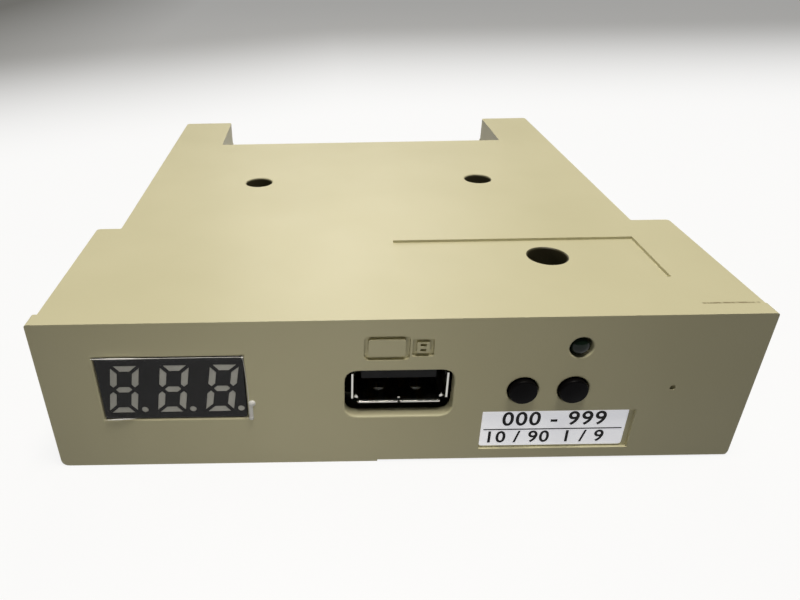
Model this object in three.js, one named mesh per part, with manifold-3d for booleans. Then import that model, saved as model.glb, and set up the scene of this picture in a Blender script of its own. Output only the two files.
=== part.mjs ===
// Floppy drive emulator for a 3.5 inch bay.
// Millimetres. X runs to the viewer's right, Y to the back, Z up. The origin is the middle of the
// footprint, on the surface that the drive stands on. Inside this file the face lies at y = 0.

import * as THREE from 'three';
import { mergeVertices } from 'three/addons/utils/BufferGeometryUtils.js';
import Module from 'manifold-3d';

const wasm = await Module();
wasm.setup();

// Case, outside
const caseWidth = 101.6;
const caseHeight = 25.4;
const caseDepth = 100.8;
const bezelRimDepth = 2.8;
const bezelCornerRadius = 1.2;
const bezelTopRadius = 0.4;
const bezelLift = 0.3;
const bezelLiftStart = -2.5;
const bodyInsetLeft = 0.85;
const bodyInsetRight = 0.4;
const shoulderDepth = 31.9;
const rearInsetLeft = 5.05;
const rearInsetRight = 7.0;
const hornWidthLeft = 11.65;
const hornWidthRight = 11.4;
const notchDepth = 19.3;
const shelfLift = 8.3;
const partingHeight = 8.6;
const planCornerRadius = 0.7;
const hornCorners = 6;

// Case, walls and stiffening
const bezelWall = 2.0;
const topWall = 2.0;
const sideWall = 1.8;
const hornFootRadius = 1.1;
const ribWidth = 1.2;
const ribDepth = 1.4;
const ribFrontGap = 0.6;
const ribRearGap = 6.0;
const ribPlaceShares = [0.12, 0.42, 0.58, 0.88];
const coverFloor = 1.8;
const coverGap = 0.3;
const lipThickness = 1.0;
const lipHeight = 1.4;
const lipGap = 0.3;

// Screw wells that reach down from the top face
const wellInsetLeft = 22.55;
const wellInsetRight = 22.1;
const wellInsetRear = 46.2;
const wellRearRadius = 2.68;
const wellFrontInset = 25.3;
const wellFrontY = 19.3;
const wellFrontRadius = 3.03;
const wellWall = 1.5;
const wellFloor = 1.5;

// Shallow recesses for labels, on the top face and on the front
const topRecessLeft = 1.4;
const topRecessFront = 10.8;
const topRecessInsetRight = 9.2;
const topRecessDepthY = 14.3;
const topRecessDrop = 0.45;
const frontRecessLeft = 12.7;
const frontRecessBottom = 2.1;
const frontRecessWidth = 22.45;
const frontRecessTopGap = 1.78;
const frontRecessDrop = 0.5;

// Bay fixing holes in the cover's side walls
const bayHoleHeight = 5.0;
const bayHoleRadius = 1.3;
const bayHoleFront = 31.0;
const bayHoleInsetRear = 9.8;
const bayBossRadius = 3.1;
const bayBossDepth = 3.0;

// Screws: shank in a clearance hole, pan head, cross recess
const screwShankRadius = 1.35;
const screwHeadRadius = 2.3;
const screwHeadHeight = 1.7;
const screwTipGap = 2.3;
const screwTipShare = 0.6;
const screwCrownShares = [0.75, 0.25];
const screwClearance = 0.3;
const crossWidth = 0.7;
const crossLength = 2.6;
const crossDepth = 0.9;
const standoffRadius = 3.3;
const standoffFloor = 1.2;

// Main board
const boardThickness = 1.6;
const boardHeightShare = 0.4212;
const boardGapLeft = 5.15;
const boardGapRight = 7.6;
const boardFront = 3.4;
const boardInsetRear = 12.2;
const boardStepGap = 2.45;
const boardStepDepth = 6.8;
const boardCornerRadius = 1.0;
const boardScrewInset = 4.0;
const boardScrewFrontInset = 9.4;
const boardScrewRearInset = 14.0;

// Socket for the memory stick
const socketX = 0.5;
const socketFront = 1.0;
const socketLength = 14.0;
const socketWidth = 13.2;
const socketHeight = 5.65;
const socketSheet = 0.3;
const socketCorner = 0.6;
const lipFlare = 0.25;
const lipSideFlare = 0.45;
const lipReach = 0.8;
const lipSplit = 0.35;
const springWidth = 1.5;
const springLength = 5.0;
const springSlot = 0.35;
const springSpacing = 5.4;
const springStart = 2.6;
const tongueSideGap = 0.75;
const tongueThickness = 1.8;
const tongueTopGap = 0.55;
const tongueSetback = 1.6;
const insulatorDepth = 2.4;
const insulatorGap = 0.1;
const contactCount = 4;
const contactWidth = 1.0;
const contactThickness = 0.2;
const contactPitch = 2.4;
const contactSetback = 1.0;
const socketCutMarginX = 1.2;
const socketCutMarginZ = 1.245;
const socketCutShift = -0.19;
const socketCutDrop = 0.695;
const socketCutRadius = 2.0;

// Push buttons and the switches behind them
const buttonPlaces = [18.0, 25.2];
const buttonLift = 2.4;
const buttonRadius = 2.02;
const buttonProud = 0.9;
const buttonEdge = 0.35;
const buttonDomeShares = [[0.55, 0.12], [0.85, 0.45]];
const buttonClearance = 0.2;
const flangeRadius = 2.8;
const flangeThickness = 0.8;
const flangeGap = 0.3;
const plungerRadius = 1.2;
const plungerFlangeRadius = 1.7;
const plungerFlange = 0.6;
const plungerClearance = 0.3;
const switchSetback = 1.2;
const switchWidth = 5.8;
const switchHeight = 4.7;
const switchDepth = 3.4;
const switchCavityDepth = 1.7;
const switchSheet = 0.3;
const switchEarDepth = 2.0;

// Status light
const lightX = 25.2;
const lightHeightShare = 0.7992;
const lightRadius = 1.45;
const lightHoleRadius = 1.65;
const lightProud = 0.2;
const lightLength = 5.0;
const lightDomeDepth = 1.0;
const lightDomeShares = [[0.5, 0.13], [0.87, 0.5], [1, 1]];
const lightRimRadius = 1.85;
const lightRim = 0.9;
const leadThickness = 0.5;
const leadSpacing = 2.54;
const leadReach = 7.9;
const postWidth = 4.6;
const postDepth = 3.0;
const postGap = 0.25;

// Small hole at the right of the face
const pinholeInset = 11.4;
const pinholeLift = 0.1;
const pinholeRadius = 0.42;

// Three-digit display
const windowInset = 18.65;
const windowHeightShare = 0.563;
const windowWidth = 21.1;
const windowHeight = 11.0;
const windowClearance = 0.2;
const displaySetback = 0.2;
const displayShelfGap = 0.3;
const displayWidth = 22.5;
const displayHeight = 14.0;
const displayDepth = 7.2;
const frameRib = 1.0;
const frameRibReach = 3.0;
const frameRibGap = 0.3;
const digitCount = 3;
const digitPitch = 7.02;
const digitShift = 0.1;
const digitDrop = 0.15;
const digitWidth = 4.1;
const digitHeight = 8.3;
const digitSlantDegrees = 9.6;
const segmentWidth = 1.0;
const segmentGap = 0.33;
const segmentDrop = 0.15;
const pointRadius = 0.5;
const pointReach = 3.1;
const displayBoardThickness = 1.2;
const displayBoardWidth = 23.0;
const displayBoardFloorGap = 1.2;
const displayBoardTopGap = 1.8;

// Pin headers
const pinPitch = 2.54;
const pinThickness = 0.64;
const pinReach = 6.0;
const headerDepth = 2.5;
const headerLift = 0.3;
const driveWidthShare = 0.52;
const driveInset = 0.81;
const headerSetback = 5.2;
const jumperWidthShare = 0.22;
const jumperGap = 2.22;
const jumperPinReach = 5.8;
const jumperCapColumns = [1, 4];
const capWall = 0.62;
const capRoof = 0.8;
const capPinGap = 0.2;
const displayColumns = 7;
const displayHeaderRise = 1.6;

// Power connector
const powerGap = 3.0;
const powerPins = 4;
const powerPitch = 2.5;
const powerWidth = 11.6;
const powerWall = 1.2;
const powerBack = 2.6;
const powerFloor = 1.4;
const powerFloorReach = 7.0;
const powerHeight = 6.4;
const powerPinHeight = 3.9;
const powerRibHeight = 2.0;

// Parts on the board
const chipWidth = 7.0;
const chipHeight = 1.4;
const chipLift = 0.1;
const chipLeads = 12;
const chipLeadPitch = 0.5;
const chipLeadWidth = 0.22;
const chipLeadReach = 1.0;
const chipLeadThickness = 0.18;
const chipPlaceShares = [0.47, 0.43];
const driverLength = 9.9;
const driverWidth = 3.9;
const driverLeads = 8;
const driverLeadPitch = 1.27;
const driverLeadWidth = 0.42;
const driverPlaceShares = [0.2, 0.3];
const crystalLength = 11.0;
const crystalWidth = 4.6;
const crystalHeight = 3.5;
const crystalBaseRim = 0.45;
const crystalBase = 0.5;
const crystalPlaceShares = [0.36, 0.3];
const regulatorWidth = 6.5;
const regulatorDepth = 3.5;
const regulatorHeight = 1.6;
const regulatorTabWidth = 3.0;
const regulatorTabReach = 1.7;
const regulatorTab = 0.25;
const regulatorPlaceShares = [0.13, 0.47];
const canRadius = 2.5;
const canHeight = 5.4;
const canEdge = 0.35;
const canWaist = 1.1;
const canBase = 0.6;
const canPlaceShares = [[0.09, 0.74], [0.22, 0.74]];

// One overrun for every cut, the grid that vertices keep to, and how finely round things are faceted
const overrun = 0.5;
const resolution = 0.001;
const roundSides = 32;
const smallSides = 16;
const cornerSegments = 5;

// Places worked out from the sizes above
const halfWidth = caseWidth / 2;
const bodyLeft = -halfWidth + bodyInsetLeft;
const bodyRight = halfWidth - bodyInsetRight;
const rearLeft = -halfWidth + rearInsetLeft;
const rearRight = halfWidth - rearInsetRight;
const notchLeft = rearLeft + hornWidthLeft;
const notchRight = rearRight - hornWidthRight;
const notchY = caseDepth - notchDepth;
const ceiling = caseHeight - topWall;
const boardTop = boardHeightShare * caseHeight;
const shelfHeight = boardTop + shelfLift;
const shelfRoot = shelfHeight - sideWall;
const boardBottom = boardTop - boardThickness;
const boardLeft = bodyLeft + sideWall + boardGapLeft;
const boardRight = bodyRight - sideWall - boardGapRight;
const boardWidth = boardRight - boardLeft;
const boardRear = caseDepth - boardInsetRear;
const boardDepth = boardRear - boardFront;
const windowX = -halfWidth + windowInset;
const windowZ = windowHeightShare * caseHeight;
const displayRear = displaySetback + displayDepth;
const displayShelf = bezelWall + displayShelfGap;
const boardStepX = windowX + displayBoardWidth / 2 + boardStepGap;
const buttonZ = boardTop + buttonLift;
const lightZ = lightHeightShare * caseHeight;
const boardScrewFrontY = boardFront + boardStepDepth + boardScrewFrontInset;
const boardScrewRearY = boardRear - boardScrewRearInset;
const wellRearY = caseDepth - wellInsetRear;
const wellBottom = boardTop + screwClearance;
const screwHoleRadius = screwShankRadius + screwClearance;
const capBack = bezelWall + flangeGap + flangeThickness;
const switchFront = capBack + switchSetback;
const screwTip = standoffFloor + screwTipGap;
const headerY = boardRear - headerSetback;
const driveColumns = Math.floor(driveWidthShare * boardWidth / pinPitch);
const driveLeft = boardRight - driveInset - driveColumns * pinPitch;
const driveHeaderX = driveLeft + driveColumns * pinPitch / 2;
const jumperColumns = Math.floor(jumperWidthShare * boardWidth / pinPitch);
const jumperLeft = driveLeft - jumperGap - jumperColumns * pinPitch;
const jumperHeaderX = jumperLeft + jumperColumns * pinPitch / 2;
const powerX = jumperLeft - powerGap - powerWidth / 2;

const wells = [
  { name: 'rear_left', x: rearLeft + wellInsetLeft, y: wellRearY, radius: wellRearRadius },
  { name: 'rear_right', x: rearRight - wellInsetRight, y: wellRearY, radius: wellRearRadius },
  { name: 'front_right', x: halfWidth - wellFrontInset, y: wellFrontY, radius: wellFrontRadius },
];

const boardScrews = [
  { name: 'front_left', x: boardLeft + boardScrewInset, y: boardScrewFrontY },
  { name: 'rear_left', x: boardLeft + boardScrewInset, y: boardScrewRearY },
  { name: 'rear_right', x: boardRight - boardScrewInset, y: boardScrewRearY },
];

// Materials
function finish(color, roughness, metalness) {
  return new THREE.MeshStandardMaterial({ color, roughness, metalness, flatShading: true });
}

const finishes = {
  housing: finish(0xc8c2a0, 0.55, 0),
  button: finish(0x161616, 0.45, 0),
  blackPlastic: finish(0x1c1c1d, 0.5, 0),
  display: finish(0x202023, 0.35, 0),
  socketShell: finish(0xc9c9c6, 0.25, 1),
  sheetSteel: finish(0xb9b9b4, 0.35, 1),
  contact: finish(0xd8b25a, 0.3, 1),
  board: finish(0x1f5a34, 0.5, 0),
  screw: finish(0x8f8f8c, 0.35, 1),
  lens: finish(0x1f3a26, 0.12, 0),
  nylon: finish(0xe6e2d2, 0.5, 0),
  can: finish(0xb8b8b8, 0.3, 1),
};

// Solids from three.js geometry
function solid(geometry) {
  geometry.deleteAttribute('normal');
  geometry.deleteAttribute('uv');
  const merged = mergeVertices(geometry);
  const snap = (value) => Math.round(value / resolution) * resolution;
  const points = merged.attributes.position.array.map(snap);
  const kept = [];
  for (let i = 0; i < merged.index.count; i += 3) {
    const corner = [0, 1, 2].map((k) => merged.index.getX(i + k));
    if (new Set(corner).size === 3) kept.push(corner);
  }
  const triangles = signedVolume(points, kept) < 0 ? kept.map(([a, b, c]) => [a, c, b]) : kept;
  const triVerts = Uint32Array.from(triangles.flat());
  return new wasm.Manifold(new wasm.Mesh({ numProp: 3, vertProperties: points, triVerts }));
}

function signedVolume(points, triangles) {
  const vertex = (i) => new THREE.Vector3().fromArray(points, 3 * i);
  const six = triangles.map(([a, b, c]) => vertex(a).dot(vertex(b).cross(vertex(c))));
  return six.reduce((sum, value) => sum + value, 0);
}

function box(x0, x1, y0, y1, z0, z1) {
  const geometry = new THREE.BoxGeometry(x1 - x0, y1 - y0, z1 - z0);
  return solid(geometry.translate((x0 + x1) / 2, (y0 + y1) / 2, (z0 + z1) / 2));
}

function extrude(shape, depth) {
  return new THREE.ExtrudeGeometry(shape, { depth, bevelEnabled: false, curveSegments: cornerSegments });
}

// A plan outline in X and Y, raised from z0 to z1
function raised(shape, z0, z1) {
  return solid(extrude(shape, z1 - z0).translate(0, 0, z0));
}

// A face outline in X and Z, driven from y0 back to y1
function driven(shape, y0, y1) {
  return solid(extrude(shape, y1 - y0).rotateX(Math.PI / 2).translate(0, y1, 0));
}

// A side outline in Y and Z, drawn from x0 to x1
function drawn(shape, x0, x1) {
  const turn = new THREE.Matrix4().set(0, 0, 1, 0, 1, 0, 0, 0, 0, 1, 0, 0, 0, 0, 0, 1);
  return solid(extrude(shape, x1 - x0).applyMatrix4(turn).translate(x0, 0, 0));
}

function rodX(y, z, radius, x0, x1, sides = smallSides) {
  const rod = new THREE.CylinderGeometry(radius, radius, x1 - x0, sides).rotateZ(Math.PI / 2);
  return solid(rod.translate((x0 + x1) / 2, y, z));
}

function rodY(x, z, radius, y0, y1, sides = roundSides) {
  const rod = new THREE.CylinderGeometry(radius, radius, y1 - y0, sides);
  return solid(rod.translate(x, (y0 + y1) / 2, z));
}

function rodZ(x, y, radius, z0, z1, sides = roundSides) {
  const rod = new THREE.CylinderGeometry(radius, radius, z1 - z0, sides).rotateX(Math.PI / 2);
  return solid(rod.translate(x, y, (z0 + z1) / 2));
}

// A profile of [radius, along] pairs turned about Y, or about Z when upright
function turned(profile, upright, sides = roundSides) {
  const points = profile.map(([radius, along]) => new THREE.Vector2(radius, along));
  const geometry = new THREE.LatheGeometry(points, sides);
  return solid(upright ? geometry.rotateX(Math.PI / 2) : geometry);
}

// A closed outline whose corners are rounded by one radius, or by one radius each
function outline(corners, radius = 0) {
  const shape = new THREE.Shape();
  const points = corners.map(([x, y]) => new THREE.Vector2(x, y));
  points.forEach((corner, i) => {
    const before = points[(i + points.length - 1) % points.length];
    const after = points[(i + 1) % points.length];
    const r = Array.isArray(radius) ? radius[i] : radius;
    const start = corner.clone().lerp(before, r / corner.distanceTo(before));
    const end = corner.clone().lerp(after, r / corner.distanceTo(after));
    if (i === 0) shape.moveTo(start.x, start.y);
    else shape.lineTo(start.x, start.y);
    if (r > 0) shape.quadraticCurveTo(corner.x, corner.y, end.x, end.y);
  });
  shape.closePath();
  return shape;
}

function rectangle(x0, x1, y0, y1, radius = 0) {
  return outline([[x0, y0], [x1, y0], [x1, y1], [x0, y1]], radius);
}

function centred(x, y, width, height, radius = 0) {
  return rectangle(x - width / 2, x + width / 2, y - height / 2, y + height / 2, radius);
}

function joined(solids) {
  return solids.reduce((whole, next) => whole.add(next));
}

function cut(whole, solids) {
  return solids.reduce((rest, next) => rest.subtract(next), whole);
}

function countUp(count) {
  return Array.from({ length: count }, (_, i) => i);
}

// Places of a row of things, spread evenly about a middle
function spread(middle, pitch, count) {
  return countUp(count).map((i) => middle + (i - (count - 1) / 2) * pitch);
}

const model = new THREE.Group();

function addPiece(name, body, material) {
  const source = body.getMesh();
  const geometry = new THREE.BufferGeometry();
  geometry.setAttribute('position', new THREE.BufferAttribute(source.vertProperties, source.numProp));
  geometry.setIndex(new THREE.BufferAttribute(source.triVerts, 1));
  geometry.computeVertexNormals();
  const mesh = new THREE.Mesh(geometry, material);
  mesh.name = name;
  model.add(mesh);
}

// Upper housing: face, top, side walls and the two horns in one moulding

// Plan of the upper deck behind the shoulder, drawn in by a wall all round. Its two corners at the
// shoulder stay square, because they lie inside the front of the moulding.
const hornCornerRadii = [0, 0, ...countUp(hornCorners).map(() => planCornerRadius)];

function hornedPlan(inset, radius) {
  const front = shoulderDepth - sideWall - overrun;
  return outline([
    [rearLeft + inset, front],
    [rearRight - inset, front],
    [rearRight - inset, caseDepth - inset],
    [notchRight + inset, caseDepth - inset],
    [notchRight + inset, notchY - inset],
    [notchLeft - inset, notchY - inset],
    [notchLeft - inset, caseDepth - inset],
    [rearLeft + inset, caseDepth - inset],
  ], radius);
}

function bezelOutline() {
  const corners = [[-halfWidth, 0], [halfWidth, 0], [halfWidth, caseHeight], [-halfWidth, caseHeight]];
  return outline(corners, [bezelCornerRadius, bezelCornerRadius, bezelTopRadius, bezelTopRadius]);
}

function housingOutside() {
  const shoulderRadii = [0, 0, planCornerRadius, planCornerRadius];
  const shoulderPlan = rectangle(bodyLeft, bodyRight, bezelWall, shoulderDepth, shoulderRadii);
  return joined([
    driven(bezelOutline(), 0, bezelRimDepth),
    raised(shoulderPlan, shelfRoot, caseHeight),
    raised(hornedPlan(0, hornCornerRadii), shelfRoot, caseHeight),
    box(bodyLeft, bodyRight, bezelWall, caseDepth, partingHeight, shelfHeight),
  ]);
}

function housingHollow() {
  const left = bodyLeft + sideWall;
  const right = bodyRight - sideWall;
  return joined([
    box(left, right, bezelWall, shoulderDepth - sideWall, coverFloor, ceiling),
    raised(hornedPlan(sideWall), shelfRoot - overrun, ceiling),
    box(left, right, bezelWall, caseDepth + overrun, coverFloor, shelfRoot),
  ]);
}

function notchCut() {
  return box(notchLeft, notchRight, notchY, caseDepth + overrun, 0, caseHeight + overrun);
}

// Rounded foot along the inner side of a horn, where its wall turns into the shelf
function hornFoot(wallX, side) {
  const r = hornFootRadius;
  const foot = new THREE.Shape();
  foot.moveTo(wallX + side * sideWall / 2, shelfRoot);
  foot.lineTo(wallX - side * r, shelfRoot);
  foot.lineTo(wallX - side * r, shelfHeight);
  foot.quadraticCurveTo(wallX, shelfHeight, wallX, shelfHeight + r);
  foot.lineTo(wallX + side * sideWall / 2, shelfHeight + r);
  return driven(foot, notchY - sideWall, caseDepth);
}

function topRibs() {
  const front = displayRear + displayBoardThickness + ribFrontGap;
  const rear = notchY - sideWall - ribRearGap;
  const half = ribWidth / 2;
  return ribPlaceShares.map((share) => {
    const x = rearLeft + share * (rearRight - rearLeft);
    return box(x - half, x + half, front, rear, ceiling - ribDepth, ceiling + topWall / 2);
  });
}

// Rib that frames the display behind its window
function windowFrame() {
  const outer = frameRib + frameRibGap;
  const around = (grow) => centred(windowX, windowZ, displayWidth + 2 * grow, displayHeight + 2 * grow);
  const ring = driven(around(outer), bezelWall - overrun, bezelWall + frameRibReach);
  return ring.subtract(driven(around(frameRibGap), 0, bezelWall + frameRibReach + overrun));
}

function wellTube(well) {
  return rodZ(well.x, well.y, well.radius + wellWall, wellBottom, ceiling + topWall / 2);
}

function wellCuts(well) {
  return [
    rodZ(well.x, well.y, well.radius, wellBottom + wellFloor, caseHeight + overrun),
    rodZ(well.x, well.y, screwHoleRadius, 0, caseHeight, smallSides),
  ];
}

function faceCuts() {
  const through = bezelWall + overrun;
  const recess = rectangle(
    frontRecessLeft, frontRecessLeft + frontRecessWidth,
    frontRecessBottom, buttonZ - buttonRadius - frontRecessTopGap,
  );
  const socketCut = centred(
    socketX + socketCutShift, boardTop + socketHeight / 2 - socketCutDrop,
    socketWidth + 2 * socketCutMarginX, socketHeight + 2 * socketCutMarginZ, socketCutRadius,
  );
  const pinhole = [halfWidth - pinholeInset, buttonZ + pinholeLift];
  return [
    driven(centred(windowX, windowZ, windowWidth, windowHeight), -overrun, through),
    driven(socketCut, -overrun, through),
    driven(recess, -overrun, frontRecessDrop),
    rodY(lightX, lightZ, lightHoleRadius, -overrun, through),
    rodY(...pinhole, pinholeRadius, -overrun, through, smallSides),
    ...buttonPlaces.map((x) => rodY(x, buttonZ, buttonRadius + buttonClearance, -overrun, through)),
    box(bezelLiftStart, halfWidth + overrun, -overrun, bezelRimDepth + overrun, -overrun, bezelLift),
  ];
}

function topRecessCut() {
  return box(
    topRecessLeft, bodyRight - topRecessInsetRight,
    topRecessFront, topRecessFront + topRecessDepthY,
    caseHeight - topRecessDrop, caseHeight + overrun,
  );
}

function upperHousing() {
  const shell = housingOutside().subtract(housingHollow()).subtract(notchCut());
  const feet = [hornFoot(notchLeft, -1), hornFoot(notchRight, 1)];
  const dressed = joined([shell, ...feet, ...topRibs(), windowFrame(), ...wells.map(wellTube)]);
  return cut(dressed, [...wells.flatMap(wellCuts), ...faceCuts(), topRecessCut()]);
}

// Bottom cover: floor, side walls with the bay holes, locating lips and standoffs

function coverLip(wallX, side) {
  const near = wallX + side * (sideWall + lipGap);
  const far = near + side * lipThickness;
  const root = wallX + side * sideWall / 2;
  const y0 = bezelRimDepth + coverGap + sideWall;
  const y1 = shoulderDepth + notchY / 2;
  const strip = box(Math.min(root, far), Math.max(root, far), y0, y1,
    partingHeight - 2 * lipHeight, partingHeight - lipGap);
  const lip = box(Math.min(near, far), Math.max(near, far), y0, y1,
    partingHeight - 2 * lipHeight, partingHeight + lipHeight);
  return strip.add(lip);
}

function bayBoss(wallX, side, y) {
  const root = wallX + side * sideWall / 2;
  const inner = wallX + side * bayBossDepth;
  return rodX(y, bayHoleHeight, bayBossRadius, Math.min(root, inner), Math.max(root, inner));
}

function bayHole(wallX, side, y) {
  const outer = wallX - side * overrun;
  const inner = wallX + side * (bayBossDepth + overrun);
  return rodX(y, bayHoleHeight, bayHoleRadius, Math.min(outer, inner), Math.max(outer, inner));
}

function standoff({ x, y }) {
  const post = rodZ(x, y, standoffRadius, coverFloor / 2, boardBottom);
  const hole = rodZ(x, y, screwHoleRadius, standoffFloor, boardBottom + overrun, smallSides);
  return { post, hole };
}

function bottomCover() {
  const front = bezelRimDepth + coverGap;
  const tray = raised(rectangle(bodyLeft, bodyRight, front, caseDepth, planCornerRadius), 0, partingHeight);
  const hollow = box(bodyLeft + sideWall, bodyRight - sideWall, front - overrun, caseDepth + overrun,
    coverFloor, partingHeight + overrun);
  const walls = [[bodyLeft, 1], [bodyRight, -1]];
  const places = [bayHoleFront, caseDepth - bayHoleInsetRear];
  const bosses = walls.flatMap(([x, side]) => places.map((y) => bayBoss(x, side, y)));
  const bayHoles = walls.flatMap(([x, side]) => places.map((y) => bayHole(x, side, y)));
  const lips = walls.map(([x, side]) => coverLip(x, side));
  const standoffs = [...wells, ...boardScrews].map(standoff);
  const dressed = joined([tray.subtract(hollow), ...bosses, ...lips, ...standoffs.map((s) => s.post)]);
  return cut(dressed, [...bayHoles, ...standoffs.map((s) => s.hole)]);
}

// Pan head screw with a cross recess, head seated at seatZ
function screw(x, y, seatZ, tipZ) {
  const crown = screwHeadHeight / 3;
  const [crownReach, crownDrop] = screwCrownShares;
  const profile = [
    [0, tipZ],
    [screwShankRadius * screwTipShare, tipZ],
    [screwShankRadius, tipZ + screwShankRadius / 2],
    [screwShankRadius, seatZ],
    [screwHeadRadius, seatZ],
    [screwHeadRadius, seatZ + screwHeadHeight - crown],
    [screwHeadRadius * crownReach, seatZ + screwHeadHeight - crown * crownDrop],
    [0, seatZ + screwHeadHeight],
  ];
  const z0 = seatZ + screwHeadHeight - crossDepth;
  const z1 = seatZ + screwHeadHeight + overrun;
  const long = crossLength / 2;
  const thin = crossWidth / 2;
  const cross = box(-long, long, -thin, thin, z0, z1).add(box(-thin, thin, -long, long, z0, z1));
  return turned(profile, true, smallSides).subtract(cross).translate([x, y, 0]);
}

// Main board, stepped back at its front left corner for the display
function mainBoard() {
  const plan = outline([
    [boardStepX, boardFront],
    [boardRight, boardFront],
    [boardRight, boardRear],
    [boardLeft, boardRear],
    [boardLeft, boardFront + boardStepDepth],
    [boardStepX, boardFront + boardStepDepth],
  ], boardCornerRadius);
  const holes = [...wells, ...boardScrews].map(({ x, y }) => (
    rodZ(x, y, screwHoleRadius, boardBottom - overrun, boardTop + overrun, smallSides)));
  return cut(raised(plan, boardBottom, boardTop), holes);
}

// Memory stick socket: folded sheet shell with flared lips and springs

const socketFloor = boardTop;
const socketRoof = boardTop + socketHeight;
const socketRear = socketFront + socketLength;
const lipRoot = socketFront + lipReach;

function flaredLip(halfSpan, rise, towards) {
  const lip = new THREE.Shape();
  lip.moveTo(socketFront, towards * lipFlare + rise);
  lip.lineTo(lipRoot, rise);
  lip.lineTo(lipRoot + socketSheet, rise);
  lip.lineTo(lipRoot + socketSheet, rise - towards * socketSheet);
  lip.lineTo(lipRoot, rise - towards * socketSheet);
  lip.lineTo(socketFront, rise + towards * (lipFlare - socketSheet));
  return drawn(lip, socketX - halfSpan, socketX + halfSpan);
}

function sideLip(side) {
  const wall = socketX + side * socketWidth / 2;
  const lip = new THREE.Shape();
  lip.moveTo(wall + side * lipSideFlare, socketFront);
  lip.lineTo(wall, lipRoot);
  lip.lineTo(wall, lipRoot + socketSheet);
  lip.lineTo(wall - side * socketSheet, lipRoot + socketSheet);
  lip.lineTo(wall - side * socketSheet, lipRoot);
  lip.lineTo(wall + side * (lipSideFlare - socketSheet), socketFront);
  return raised(lip, socketFloor + socketCorner, socketRoof - socketCorner);
}

// Spring tongue freed from the sheet by a slot at each side and at its tip
function springSlots(x) {
  const tip = socketFront + springStart;
  const root = tip + springLength;
  const outer = springWidth / 2 + springSlot;
  const slot = box(x - outer, x + outer, tip, root, socketRoof - socketSheet - overrun, socketRoof + overrun);
  return slot.subtract(box(x - springWidth / 2, x + springWidth / 2, tip + springSlot, root + overrun,
    socketFloor, socketRoof + caseHeight));
}

function socketShell() {
  const middle = (socketFloor + socketRoof) / 2;
  const ring = (inset, y0, y1) => driven(centred(
    socketX, middle, socketWidth - 2 * inset, socketHeight - 2 * inset, socketCorner,
  ), y0, y1);
  const tube = ring(0, lipRoot + socketSheet / 2, socketRear);
  const bore = ring(socketSheet, socketFront, socketRear + overrun);
  const span = socketWidth / 2 - socketCorner;
  const split = box(socketX - lipSplit / 2, socketX + lipSplit / 2, 0, lipRoot,
    socketFloor - socketSheet - lipFlare, socketFloor + socketSheet);
  const upperLip = flaredLip(span, socketRoof, 1);
  const lowerLip = flaredLip(span, socketFloor, -1).subtract(split);
  const slots = spread(socketX, springSpacing, 2).map(springSlots);
  return cut(joined([tube.subtract(bore), upperLip, lowerLip, sideLip(-1), sideLip(1)]), slots);
}

const tongueTop = socketRoof - socketSheet - tongueTopGap;
const tongueBottom = tongueTop - tongueThickness;
const tongueFront = socketFront + tongueSetback;

function socketTongue() {
  const inset = socketSheet + insulatorGap;
  const block = driven(rectangle(
    socketX - socketWidth / 2 + inset, socketX + socketWidth / 2 - inset,
    socketFloor + inset, socketRoof - inset, socketCorner / 2,
  ), socketRear - insulatorDepth, socketRear);
  const halfTongue = socketWidth / 2 - socketSheet - tongueSideGap;
  const tongue = box(socketX - halfTongue, socketX + halfTongue, tongueFront, socketRear - insulatorDepth / 2,
    tongueBottom, tongueTop);
  return block.add(tongue);
}

function socketContact(x) {
  const half = contactWidth / 2;
  const front = tongueFront + contactSetback;
  const rear = socketRear - insulatorDepth;
  return box(x - half, x + half, front, rear, tongueBottom - contactThickness, tongueBottom);
}

// Push button cap: domed rod with a flange that stops behind the face
function buttonCap(x) {
  const flangeFront = bezelWall + flangeGap;
  const profile = [
    [0, -buttonProud],
    ...buttonDomeShares.map(([out, back]) => [buttonRadius * out, -buttonProud + buttonEdge * back]),
    [buttonRadius, -buttonProud + buttonEdge],
    [buttonRadius, flangeFront],
    [flangeRadius, flangeFront],
    [flangeRadius, capBack],
    [0, capBack],
  ];
  return turned(profile, false).translate([x, 0, buttonZ]);
}

// Plunger between the cap and the dome inside its switch
function switchPlunger(x) {
  const flangeFront = switchFront + switchSheet + plungerClearance;
  const profile = [
    [0, capBack],
    [plungerRadius, capBack],
    [plungerRadius, flangeFront],
    [plungerFlangeRadius, flangeFront],
    [plungerFlangeRadius, flangeFront + plungerFlange],
    [0, flangeFront + plungerFlange],
  ];
  return turned(profile, false, smallSides).translate([x, 0, buttonZ]);
}

function switchBody(x) {
  const front = switchFront + switchSheet;
  const half = switchWidth / 2;
  const body = box(x - half, x + half, front, front + switchDepth, boardTop, boardTop + switchHeight);
  const cavityRadius = plungerFlangeRadius + plungerClearance;
  const cavityRear = front + switchCavityDepth;
  return body.subtract(rodY(x, buttonZ, cavityRadius, front - overrun, cavityRear, smallSides));
}

// Sheet cover of a switch, folded back over both sides of its body
function switchCover(x) {
  const half = switchWidth / 2;
  const outer = half + switchSheet;
  const top = boardTop + switchHeight;
  const sheetRear = switchFront + switchSheet;
  const front = box(x - outer, x + outer, switchFront, sheetRear, boardTop, top);
  const ears = [-1, 1].map((side) => box(
    Math.min(x + side * half, x + side * outer), Math.max(x + side * half, x + side * outer),
    switchFront, switchFront + switchEarDepth, boardTop, top,
  ));
  const holeRadius = plungerRadius + plungerClearance;
  return joined([front, ...ears]).subtract(
    rodY(x, buttonZ, holeRadius, switchFront - overrun, sheetRear + overrun, smallSides));
}

// Status light: clear lens with a rim, on two leads bent down over a post
const lightRear = lightLength - lightProud;
const leadTurn = lightRear + leadReach;

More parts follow.
